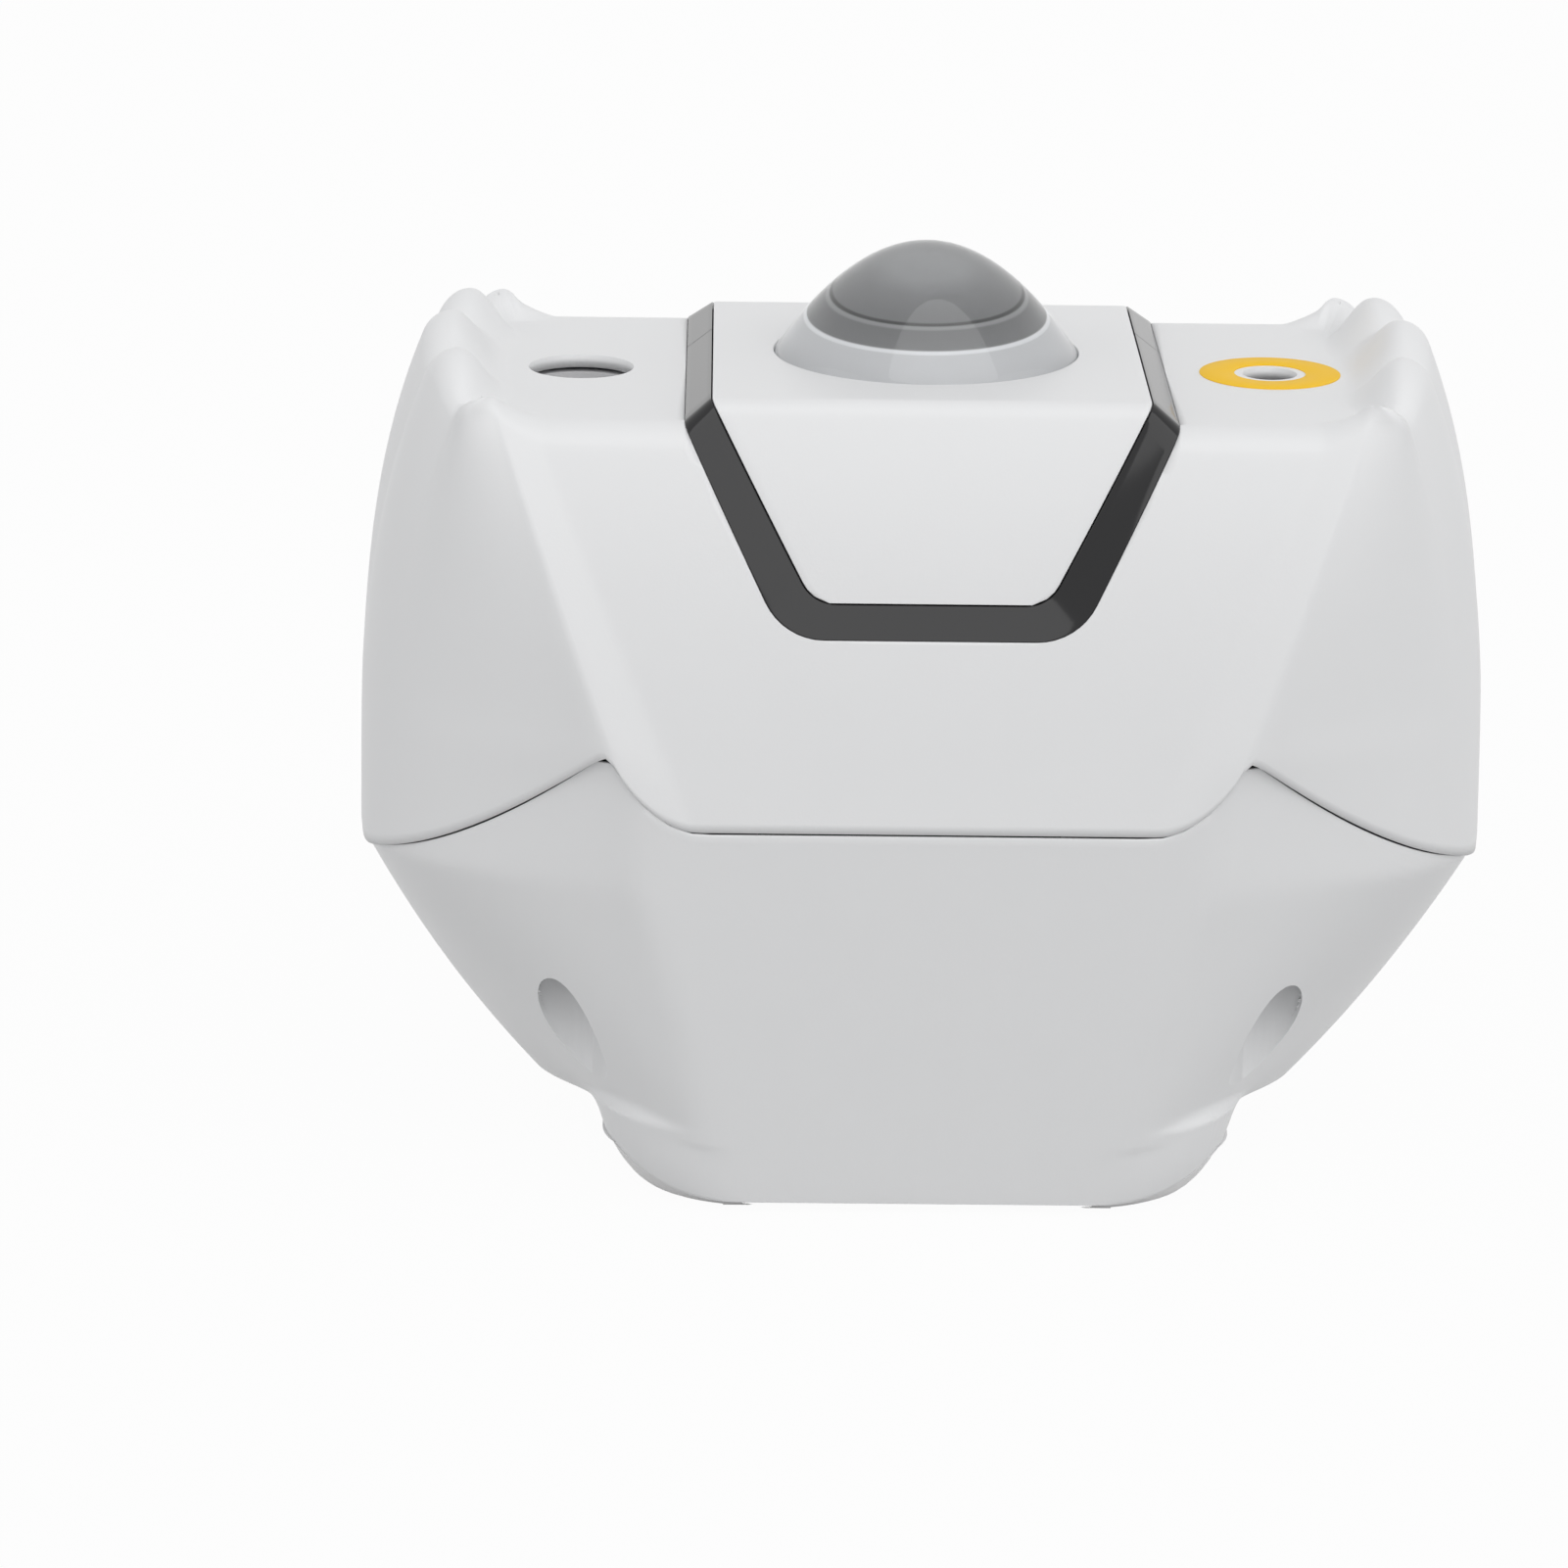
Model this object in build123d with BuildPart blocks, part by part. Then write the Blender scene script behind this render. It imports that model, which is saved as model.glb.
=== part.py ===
from build123d import *
import os
from math import acos, atan2, cos, hypot, pi, sin

# A table star projector: a white bowl-shaped case with fluted wings at both ends,
# a clear lens on top, a moon aperture at the left and a laser aperture at the right.
# Millimetres. The origin is on the floor under the middle; the front faces -Y and +Z is up.

# Case, main sizes
deck_height = 151.1
deck_half_depth = 46.7
seam_height = 78.5
seam_half_depth = 60.4
base_height = 2.0
base_half_depth = 46.0
side_half_width = 105.6
side_widest_height = 66.0
side_draw = 9.1
bowl_foot_height = 18.0
bowl_foot_draw = 37.5
bowl_floor_height = 13.0
wall = 2.5
deck_wall = 3.0
deck_edge_radius = 7.0
raised_edge_radius = 4.4
overrun = 2.0

# Case, how its curves run between those sizes
panel_curve_share = 0.36
lower_curve_share = 1.31
side_curve_power = 2.9
bowl_line_share = 0.74
bowl_curve_power = 5
bowl_flat_share = 0.5
bowl_foot_flat_share = 0.617
bowl_corner_shares = (0.942, 0.54)
bowl_foot_corner_shares = (0.94, 0.38)
bowl_corner_bulge_share = 0.055
bowl_level_shares = (0, 0.1, 0.25, 0.42, 0.55, 0.66, 0.82, 1)
profile_steps = 6

# Wings: the band that steps up from the front panel, and the lobes round the side
wing_floor = 58.0
band_low_height = 92.0
band_low_half_width = 57.5
band_top_half_width = 78.0
band_low_width = 9.5
band_top_width = 6.0
band_low_rise = 2.6
band_top_rise = 0.8
band_reach_share = 1.5
front_crease_low = 33.0
front_crease_top = 40.5
front_crease_share = 0.942
side_crease_depth = 13.4
side_crease_low_share = 0.988
side_crease_top_share = 0.974
front_lobe_low_bulge = 3.2
front_lobe_top_bulge = 2.4
side_lobe_low_bulge = 1.2
side_lobe_top_bulge = 3.0
wing_level_shares = (0, 0.22, 0.4, 0.57, 0.73, 0.88, 1)

# Finger tops of the lobes, from the front lobe to the middle one, placed by inset from the side and by depth
finger_root = 1.0
finger_level_shares = (0, 0.5, 0.8, 0.97)
front_finger_base = (25.8, 42.4)
front_finger_crest = (24.6, 45.0)
front_finger_radii = (7.4, 8.0)
front_finger_rise = 4.5
front_finger_turn = 54.0
second_finger_base = (20.2, 26.2)
second_finger_crest = (19.1, 26.8)
second_finger_radii = (10.4, 11.4)
second_finger_rise = 9.2
second_finger_turn = 33.0
middle_finger_base = (18.5, 0.0)
middle_finger_crest = (17.6, 0.0)
middle_finger_radii = (9.2, 11.6)
middle_finger_rise = 10.2
middle_finger_turn = 0.0

# Seam between the two shells, as it looks from the front
seam_flat_half_width = 41.0
seam_inner_point = (51.0, 83.0)
seam_peak = (57.5, 91.8)
seam_outer_point = (83.6, 74.6)
seam_edge_reach = 2.4
seam_edge_height = 64.8
seam_gap = 0.4

# Pedestal and feet
pedestal_half_width = 60.0
pedestal_draw = 15.0
pedestal_kink_height = 18.5
pedestal_top_height = 24.0
pedestal_top_half_width = 51.0
pedestal_line_share = 0.5
pedestal_curve_power = 5
pedestal_level_shares = (0, 0.1, 0.25, 0.45, 0.7, 1)
face_spare = 1.0
pedestal_corner_radius = 20.0
pedestal_kink_corner_radius = 29.0
skid_inner = 36.0
skid_edge_slope = 0.34
skid_half_length = 42.5
skid_inset = 0.4
skid_level_shares = (0, 0.2, 0.45, 0.7, 1)

# Raised centre and the dark trim round it
deck_raise = 3.8
front_recess = 2.0
inner_top_half_width = 40.0
inner_low_half_width = 21.3
inner_low_height = 120.0
inner_corner_radius = 7.0
outer_top_half_width = 44.9
outer_low_half_width = 26.7
outer_low_height = 113.9
outer_corner_radius = 12.0
trim_thickness = 1.6
trim_seat = 1.2
trim_gap = 0.1
trim_joint_gap = 0.2
trim_joint_back = 16.5

# Lens on the raised deck and its retainer
lens_radius = 28.3
lens_rise = 20.7
lens_flange_radius = 31.0
lens_flange_thickness = 1.8
lens_hole_clearance = 0.3
lens_cap_depth = 6.6
lens_cap_clearance = 0.3
retainer_inner_radius = 26.5
retainer_outer_radius = 36.6
retainer_thickness = 2.0
retainer_screw_circle = 34.0
retainer_screw_angle = 45.0
retainer_post_radius = 2.6
retainer_screw_radius = 1.1
retainer_screw_head_radius = 2.4
retainer_screw_head_height = 1.5
retainer_screw_bite = 1.2
screw_clearance = 0.05

# Chassis plate and the posts that hold it
chassis_top = 128.0
chassis_thickness = 2.5
chassis_half_length = 80.0
chassis_half_depth = 31.0
chassis_corner_radius = 6.0
chassis_post_x = 52.0
chassis_post_y = 26.0
chassis_post_radius = 3.5
chassis_screw_radius = 1.3
chassis_screw_head_radius = 2.8
chassis_screw_head_height = 1.8
chassis_screw_bite = 8.0

# Case screws, their posts in the upper shell and their wells in the lower shell
well_width_share = 0.6136
well_y = 38.1
well_radius = 6.6
well_wall = 2.2
well_roof_height = 46.0
well_roof_thickness = 3.0
case_post_radius = 4.2
case_screw_radius = 1.6
case_screw_head_radius = 3.4
case_screw_head_height = 2.2
case_screw_length = 18.0

# Gear train
gear_module = 0.8
ripple_teeth = 76
pinion_teeth = 12
idler_teeth = 28
grating_teeth = 34
addendum_share = 0.6
dedendum_share = 1.1
tooth_tip_share = 0.24
tooth_root_share = 0.46
gear_low = 138.0
gear_width = 4.0
running_gap = 0.05
aperture_x = 64.5

# Light tube, its lamp and the ripple wheel that turns on it
tube_outer_radius = 24.0
tube_bore_radius = 20.0
tube_top = 139.0
tube_flange_radius = 28.0
tube_flange_thickness = 2.0
tube_ledge_radius = 15.6
tube_ledge_low = 134.6
tube_ledge_high = 136.0
led_board_radius = 19.0
led_board_thickness = 1.6
led_side = 3.5
led_height = 1.2
led_spacing = 5.0
condenser_low = 131.2
condenser_foot_radius = 6.0
condenser_neck_radius = 14.8
condenser_flange_radius = 19.8
condenser_flange_thickness = 1.4
condenser_crown = 1.3
wheel_skirt_low = 133.0
wheel_skirt_wall = 2.5
wheel_lip_width = 3.5
wheel_lip_thickness = 1.4
plate_seat_clearance = 0.1
plate_thickness = 2.0
ripple_seat_radius = 23.2

# Heat sink under the lamp
sink_side = 34.0
sink_base = 3.0
sink_fin_height = 13.0
sink_fin_thickness = 1.6
sink_fin_count = 7

# Gear motor, its shaft and the pinion
motor_radius = 12.0
motor_length = 20.0
motor_boss_radius = 3.5
motor_boss_rise = 0.6
motor_hole_clearance = 0.2
motor_bore_depth = 12.0
shaft_radius = 1.5
shaft_top = 142.6
shaft_end_gap = 0.2
pinion_hub_radius = 3.0
pinion_hub_low = 134.0
press_clearance = 0.02
motor_screw_y = 8.5
motor_screw_radius = 1.1
motor_screw_head_radius = 2.1
motor_screw_head_height = 1.4
motor_screw_bite = 4.0

# Idler axle and clip
axle_flange_radius = 5.0
axle_flange_thickness = 1.5
axle_shoulder_radius = 3.4
axle_pin_radius = 2.0
axle_top = 143.2
clip_radius = 3.8
clip_thickness = 0.6
clip_gap = 0.15

# Laser: holder, module, grating wheel, window and the plain label ring
holder_radius = 8.0
holder_bore_radius = 6.05
holder_flange_radius = 12.0
holder_flange_thickness = 2.5
laser_radius = 6.0
laser_low = 112.0
laser_top = 137.0
laser_flange_radius = 8.5
laser_flange_thickness = 1.8
laser_hole_clearance = 0.25
grating_seat_radius = 7.6
film_thickness = 0.8
laser_hole_radius = 5.15
laser_boss_radius = 8.2
laser_boss_low = 144.6
window_thickness = 1.2
label_outer_radius = 13.2
label_inner_radius = 6.7
label_thickness = 0.15

# Moon projector under the left hole
moon_hole_radius = 9.85
barrel_radius = 12.5
barrel_bore_radius = 9.3
barrel_top_gap = 0.3
barrel_flange_radius = 15.0
barrel_flange_thickness = 2.5
barrel_ledge_radius = 8.0
lens_ledge_low = 137.8
lens_ledge_high = 139.2
slide_ledge_low = 131.2
slide_ledge_high = 132.4
moon_lens_edge = 1.6
moon_lens_crown = 2.0
moon_fit_clearance = 0.1
slide_thickness = 0.8

# Main board on the floor of the lower shell
board_half_length = 36.0
board_half_depth = 26.0
board_low = 16.0
board_thickness = 1.6
board_post_x = 31.0
board_post_y = 21.0
board_post_radius = 3.0
board_screw_radius = 1.2
board_screw_head_radius = 2.3
board_screw_head_height = 1.5
board_screw_bite = 6.0
capacitor_radius = 4.0
capacitor_height = 9.0
capacitor_spacing = 11.0
chip_length = 12.0
chip_depth = 8.0
chip_height = 2.2
coil_side = 7.0
coil_height = 4.5

# Rear board with the power inlet and the two keys
rear_board_face = 43.6
rear_board_half_length = 30.0
rear_board_low = 30.0
rear_board_high = 55.0
rear_post_x = 25.0
rear_post_height = 50.0
rear_post_radius = 3.0
key_x = 18.0
key_height = 40.0
switch_side = 6.0
switch_depth = 3.5
plunger_radius = 1.6
plunger_depth = 0.8
key_gap = 0.7
key_flange_radius = 5.8
key_flange_thickness = 0.9
key_radius = 4.5
key_proud = 1.6
key_hole_clearance = 0.3
inlet_width = 9.6
inlet_height = 4.4
inlet_wall = 0.5
inlet_depth = 10.0
inlet_mouth_depth = 6.5
tongue_width = 6.6
tongue_height = 0.8
inlet_clearance = 0.3

# Infrared receiver behind the lower bar of the front trim
receiver_width = 6.0
receiver_height = 3.6
receiver_depth = 8.0
receiver_clearance = 0.2

os.makedirs("parts", exist_ok=True)

# Places worked out from the sizes
raised_deck = deck_height + deck_raise
raised_ceiling = raised_deck - wall
deck_ceiling = deck_height - deck_wall
chassis_under = chassis_top - chassis_thickness
gear_high = gear_low + gear_width
far_out = 2 * side_half_width
seam_edge = (side_half_width + seam_edge_reach, seam_edge_height)
well_x = side_half_width * well_width_share


def panel_depth(height):
    """Half depth of the front panel, which leans back more and more towards the deck."""
    share = (height - seam_height) / (deck_height - seam_height)
    curve = panel_curve_share * share + (1 - panel_curve_share) * share**3
    return seam_half_depth - (seam_half_depth - deck_half_depth) * curve


def lower_depth(height):
    """Half depth of the lower shell, which tucks in towards the base."""
    share = (height - base_height) / (seam_height - base_height)
    curve = lower_curve_share * share + (1 - lower_curve_share) * share**2
    return base_half_depth + (seam_half_depth - base_half_depth) * curve


def wing_width(height):
    """Half width at the middle lobe: plumb at the widest height, drawn in at the deck."""
    share = max(height - side_widest_height, 0) / (deck_height - side_widest_height)
    return side_half_width - side_draw * share**side_curve_power


def bowl_width(height):
    """Half width of the bowl below its widest height."""
    share = max(side_widest_height - height, 0) / (side_widest_height - bowl_foot_height)
    curve = bowl_line_share * share + (1 - bowl_line_share) * share**bowl_curve_power
    return side_half_width - bowl_foot_draw * curve


def bulged(start, end, bulge):
    """Middle point of an arc from start to end that stands out to the right by bulge."""
    run_x, run_y = end[0] - start[0], end[1] - start[1]
    length = hypot(run_x, run_y)
    return (
        (start[0] + end[0]) / 2 + bulge * run_y / length,
        (start[1] + end[1]) / 2 - bulge * run_x / length,
    )


def flip(point):
    """The same place at the back of the case."""
    return (point[0], -point[1])


def across(point):
    """The same place at the left end of the case."""
    return (-point[0], point[1])


def wing_section(height, inset):
    """Plan of the right wing: band, front lobe, side lobes, and the same again at the back."""
    share = (height - band_low_height) / (deck_height - band_low_height)

    def between(low, top):
        return low + (top - low) * share

    width = wing_width(height) - inset
    depth = panel_depth(height) - inset
    rise = between(band_low_rise, band_top_rise)
    edge = between(band_low_half_width, band_top_half_width)
    reach = band_reach_share * between(band_low_width, band_top_width)
    foot = (edge - reach, -(depth - (band_reach_share - 1) * rise))
    crest = (edge, -(depth + rise))
    front = (width * front_crease_share, inset - between(front_crease_low, front_crease_top))
    side = (width * between(side_crease_low_share, side_crease_top_share), -side_crease_depth)
    front_mid = bulged(crest, front, between(front_lobe_low_bulge, front_lobe_top_bulge))
    side_mid = bulged(front, side, between(side_lobe_low_bulge, side_lobe_top_bulge))
    with BuildSketch(Plane.XY.offset(height)) as section:
        with BuildLine():
            Line(foot, crest)
            ThreePointArc(crest, front_mid, front)
            ThreePointArc(front, side_mid, side)
            ThreePointArc(side, (width, 0), flip(side))
            ThreePointArc(flip(side), flip(side_mid), flip(front))
            ThreePointArc(flip(front), flip(front_mid), flip(crest))
            Line(flip(crest), flip(foot))
            Line(flip(foot), foot)
        make_face()
    return section.sketch


def bowl_section(height, inset):
    """Plan of the bowl: flat front and back, rounded corners and gently bowed ends."""
    width = bowl_width(height - inset) - inset
    depth = lower_depth(height) + face_spare - inset
    drop = max(side_widest_height - height, 0) / (side_widest_height - bowl_foot_height)
    flat_share = bowl_flat_share + (bowl_foot_flat_share - bowl_flat_share) * drop
    front = (width * flat_share, -depth)
    shares = [high + (low - high) * drop for high, low in zip(bowl_corner_shares, bowl_foot_corner_shares)]
    corner = (width * shares[0], -depth * shares[1])
    span = hypot(corner[0] - front[0], corner[1] - front[1])
    corner_mid = bulged(front, corner, span * bowl_corner_bulge_share)
    with BuildSketch(Plane.XY.offset(height)) as section:
        with BuildLine():
            ThreePointArc(front, corner_mid, corner)
            ThreePointArc(corner, (width, 0), flip(corner))
            ThreePointArc(flip(corner), flip(corner_mid), flip(front))
            Line(flip(front), across(flip(front)))
            ThreePointArc(across(flip(front)), across(flip(corner_mid)), across(flip(corner)))
            ThreePointArc(across(flip(corner)), (-width, 0), across(corner))
            ThreePointArc(across(corner), across(corner_mid), across(front))
            Line(across(front), front)
        make_face()
    return section.sketch


def pedestal_width(height):
    """Half width of the pedestal, rounded under towards the floor."""
    share = max(pedestal_kink_height - height, 0) / pedestal_kink_height
    curve = pedestal_line_share * share + (1 - pedestal_line_share) * share**pedestal_curve_power
    return pedestal_half_width - pedestal_draw * curve


def pedestal_section(height, width, inset):
    """Plan of the pedestal: a rectangle with rounded corners."""
    width = width - inset
    depth = lower_depth(height) + face_spare - inset
    share = min(height / pedestal_kink_height, 1)
    radius = pedestal_corner_radius + (pedestal_kink_corner_radius - pedestal_corner_radius) * share
    with BuildSketch(Plane.XY.offset(height)) as section:
        RectangleRounded(2 * width, 2 * depth, radius - inset)
    return section.sketch


def side_profile(depth_at, low, top, edge_radius=0):
    """Closed side view between two heights, its front and back following depth_at."""
    heights = [low + (top - low) * step / profile_steps for step in range(profile_steps + 1)]
    front = [(-depth_at(height), height) for height in heights]
    back = [(depth_at(height), height) for height in reversed(heights)]
    with BuildSketch(Plane.YZ) as profile:
        with BuildLine():
            Spline(*front)
            Line(front[-1], back[0])
            Spline(*back)
            Line(back[-1], front[0])
        make_face()
        if edge_radius:
            fillet(profile.vertices().sort_by(Axis.Y)[-2:], edge_radius)
    return profile.sketch


def front_outline(points, corner_radius=0):
    """Closed front view of straight lines, its two lowest corners rounded where a radius is given."""
    with BuildSketch(Plane.XZ) as outline:
        with BuildLine():
            Polyline(*points, close=True)
        make_face()
        if corner_radius:
            fillet(outline.vertices().sort_by(Axis.Y)[:2], corner_radius)
    return outline.sketch


def trim_outline(top_half, top_height, low_half, low_height, corner_radius, grow):
    """Front view inside one edge of the trim: upright over the deck, drawn in down the front."""
    return front_outline(
        [
            (-top_half - grow, raised_deck + overrun),
            (-top_half - grow, top_height),
            (-low_half - grow, low_height - grow),
            (low_half + grow, low_height - grow),
            (top_half + grow, top_height),
            (top_half + grow, raised_deck + overrun),
        ],
        corner_radius + grow,
    )


def inner_outline(grow):
    return trim_outline(
        inner_top_half_width, raised_deck, inner_low_half_width, inner_low_height, inner_corner_radius, grow
    )


def outer_outline(grow):
    return trim_outline(
        outer_top_half_width, deck_height, outer_low_half_width, outer_low_height, outer_corner_radius, grow
    )


def seam_region(shift, far):
    """Front view of everything between the seam, moved up by shift, and a far level."""

    def at(point, side=1):
        return (side * point[0], point[1] + shift)

    flat = (seam_flat_half_width, seam_height)
    with BuildSketch(Plane.XZ) as region:
        with BuildLine():
            ThreePointArc(at(seam_edge, -1), at(seam_outer_point, -1), at(seam_peak, -1))
            ThreePointArc(at(seam_peak, -1), at(seam_inner_point, -1), at(flat, -1))
            Line(at(flat, -1), at(flat))
            ThreePointArc(at(flat), at(seam_inner_point), at(seam_peak))
            ThreePointArc(at(seam_peak), at(seam_outer_point), at(seam_edge))
            Polyline(at(seam_edge), (seam_edge[0], far), (-seam_edge[0], far), at(seam_edge, -1))
        make_face()
    return region.sketch


def centre_depth(height):
    return panel_depth(height) - front_recess


def trim_face_depth(height):
    return panel_depth(height) - front_recess / 2


def trim_back_depth(height):
    return panel_depth(height) - front_recess - trim_thickness


def trim_back_wall_depth(height):
    return trim_back_depth(height) - wall


def trim_rear_depth(height):
    return trim_back_depth(height) + trim_gap


def panel_wall_depth(height):
    return panel_depth(height) - wall


def lower_wall_depth(height):
    return lower_depth(height) - wall


def finger_section(finger, share):
    """Ellipse of a finger top at a share of its rise; it narrows as a quarter ellipse does."""
    base, crest, radii, rise, turn = finger
    narrow = (1 - share**2) ** 0.5
    place = [start + (end - start) * share for start, end in zip(base, crest)]
    height = deck_height - finger_root + (rise + finger_root) * share
    with BuildSketch(Plane.XY.offset(height)) as section:
        with Locations(Location((side_half_width - place[0], -place[1], 0), -turn)):
            Ellipse(radii[0] * narrow, radii[1] * narrow)
    return section.sketch


fingers = (
    (front_finger_base, front_finger_crest, front_finger_radii, front_finger_rise, front_finger_turn),
    (second_finger_base, second_finger_crest, second_finger_radii, second_finger_rise, second_finger_turn),
    (middle_finger_base, middle_finger_crest, middle_finger_radii, middle_finger_rise, middle_finger_turn),
)
wing_levels = [wing_floor + (deck_height - wing_floor) * share for share in wing_level_shares]
wing_inner_levels = [wing_floor + (deck_ceiling - wing_floor) * share for share in wing_level_shares]
bowl_top = seam_peak[1] + overrun
bowl_levels = [bowl_floor_height + (bowl_top - bowl_floor_height) * share for share in bowl_level_shares]
bowl_inner_floor = bowl_floor_height + wall
bowl_inner_levels = [bowl_inner_floor + (bowl_top - bowl_inner_floor) * share for share in bowl_level_shares]


def pedestal_sections(inset):
    """Plans of the pedestal from its low end to the kink, and one more drawn in inside the bowl."""
    low = base_height + inset
    heights = [low + (pedestal_kink_height - low) * share for share in pedestal_level_shares]
    sections = [pedestal_section(height, pedestal_width(height), inset) for height in heights]
    return sections + [pedestal_section(pedestal_top_height, pedestal_top_half_width, inset)]


def skid_region(shift):
    """Front view of what lies under the pedestal's sloping lower edges, moved up by shift."""
    rise = skid_edge_slope * (pedestal_half_width - skid_inner)
    with BuildSketch(Plane.XZ) as region:
        for side in (-1, 1):
            with BuildLine():
                Polyline(
                    (side * skid_inner, -overrun),
                    (side * skid_inner, base_height + shift),
                    (side * pedestal_half_width, base_height + rise + shift),
                    (side * pedestal_half_width, -overrun),
                    close=True,
                )
            make_face()
    return region.sketch


def core_trapezoid(top):
    """Front view of the body between the wings, whose sides follow the middle of the band."""
    slope = (band_top_half_width - band_low_half_width) / (deck_height - band_low_height)
    top_half = band_top_half_width - band_top_width / 2 + slope * (top - deck_height)
    low_half = band_low_half_width - band_low_width / 2 + slope * (wing_floor - band_low_height)
    return front_outline([(-low_half, wing_floor), (low_half, wing_floor), (top_half, top), (-top_half, top)])


# Outer form of the upper half: core, wings and finger tops
with BuildPart() as upper_form:
    extrude(side_profile(panel_depth, wing_floor, deck_height, deck_edge_radius), amount=side_half_width, both=True)
    extrude(core_trapezoid(deck_height), amount=far_out, both=True, mode=Mode.INTERSECT)
    wing = loft([wing_section(height, 0) for height in wing_levels], mode=Mode.PRIVATE)
    add(wing)
    mirror(wing, about=Plane.YZ)
    for finger in fingers:
        tip = loft([finger_section(finger, share) for share in finger_level_shares], mode=Mode.PRIVATE)
        add(tip)
        mirror(tip, about=Plane.YZ)
        if finger[0][1]:
            rear_tip = mirror(tip, about=Plane.XZ, mode=Mode.PRIVATE)
            add(rear_tip)
            mirror(rear_tip, about=Plane.YZ)

# Hollow of the upper half
with BuildPart() as upper_hollow:
    extrude(side_profile(panel_wall_depth, wing_floor, deck_ceiling), amount=side_half_width, both=True)
    extrude(core_trapezoid(deck_ceiling), amount=far_out, both=True, mode=Mode.INTERSECT)
    wing = loft([wing_section(height, wall) for height in wing_inner_levels], mode=Mode.PRIVATE)
    add(wing)
    mirror(wing, about=Plane.YZ)

# The wall steps back behind the trim
with BuildPart() as trim_backing:
    extrude(outer_outline(wall), amount=far_out, both=True)
    extrude(
        side_profile(trim_back_wall_depth, wing_floor, raised_ceiling),
        amount=side_half_width,
        both=True,
        mode=Mode.SUBTRACT,
    )

with BuildPart() as trim_channel:
    extrude(outer_outline(0), amount=far_out, both=True)
    extrude(
        side_profile(trim_back_depth, wing_floor, deck_height - trim_seat),
        amount=side_half_width,
        both=True,
        mode=Mode.SUBTRACT,
    )

# Hollow under the raised centre
with BuildPart() as centre_hollow:
    extrude(
        side_profile(trim_back_wall_depth, wing_floor, raised_ceiling),
        amount=inner_top_half_width - wall,
        both=True,
    )

with BuildPart() as centre_block:
    extrude(
        side_profile(centre_depth, inner_low_height - overrun, raised_deck, raised_edge_radius),
        amount=side_half_width,
        both=True,
    )
    extrude(inner_outline(0), amount=far_out, both=True, mode=Mode.INTERSECT)
    add(centre_hollow.part, mode=Mode.SUBTRACT)

retainer_top = raised_ceiling - lens_flange_thickness
retainer_low = retainer_top - retainer_thickness
case_post_low = well_roof_height + well_roof_thickness
case_screw_top = well_roof_height + case_screw_length
receiver_level = (inner_low_height + outer_low_height) / 2
receiver_front = trim_back_depth(receiver_level + receiver_height / 2) - receiver_clearance
up = (Align.CENTER, Align.CENTER, Align.MIN)
down = (Align.CENTER, Align.CENTER, Align.MAX)
moon_place = (-aperture_x, 0)
laser_place = (aperture_x, 0)

with BuildPart() as upper_shell:
    add(upper_form.part)
    add(trim_channel.part, mode=Mode.SUBTRACT)
    add(upper_hollow.part - trim_backing.part, mode=Mode.SUBTRACT)
    add(centre_hollow.part, mode=Mode.SUBTRACT)
    add(centre_block.part)
    extrude(seam_region(0, -overrun), amount=far_out, both=True, mode=Mode.SUBTRACT)
    with Locations((0, 0, raised_ceiling)):
        Cylinder(lens_radius + lens_hole_clearance, 2 * (wall + overrun), mode=Mode.SUBTRACT)
    with PolarLocations(retainer_screw_circle, 4, start_angle=retainer_screw_angle):
        with Locations((0, 0, retainer_top)):
            Cylinder(retainer_post_radius, lens_flange_thickness + wall / 2, align=up)
            Cylinder(
                retainer_screw_radius + screw_clearance,
                lens_flange_thickness + retainer_screw_bite,
                align=up,
                mode=Mode.SUBTRACT,
            )
    with Locations((0, 0, chassis_top)):
        with GridLocations(2 * chassis_post_x, 2 * chassis_post_y, 2, 2):
            Cylinder(chassis_post_radius, deck_ceiling - chassis_top + deck_wall / 2, align=up)
            Cylinder(
                chassis_screw_radius + screw_clearance,
                chassis_screw_bite + chassis_screw_radius,
                align=up,
                mode=Mode.SUBTRACT,
            )
    with Locations((0, 0, case_post_low)):
        with GridLocations(2 * well_x, 2 * well_y, 2, 2):
            Cylinder(case_post_radius, deck_ceiling - case_post_low + deck_wall / 2, align=up)
            Cylinder(
                case_screw_radius + screw_clearance,
                case_screw_top - case_post_low + case_screw_radius,
                align=up,
                mode=Mode.SUBTRACT,
            )
    with Locations((*laser_place, laser_boss_low)):
        Cylinder(laser_boss_radius, deck_ceiling - laser_boss_low + deck_wall / 2, align=up)
        Cylinder(laser_hole_radius, deck_height - laser_boss_low + overrun, align=up, mode=Mode.SUBTRACT)
    with Locations((*moon_place, deck_ceiling - overrun)):
        Cylinder(moon_hole_radius, deck_wall + 2 * overrun, align=up, mode=Mode.SUBTRACT)
    with Locations((0, -trim_back_depth(receiver_level), receiver_level)):
        Box(
            receiver_width + 2 * receiver_clearance,
            2 * (wall + overrun),
            receiver_height + 2 * receiver_clearance,
            mode=Mode.SUBTRACT,
        )

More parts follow.
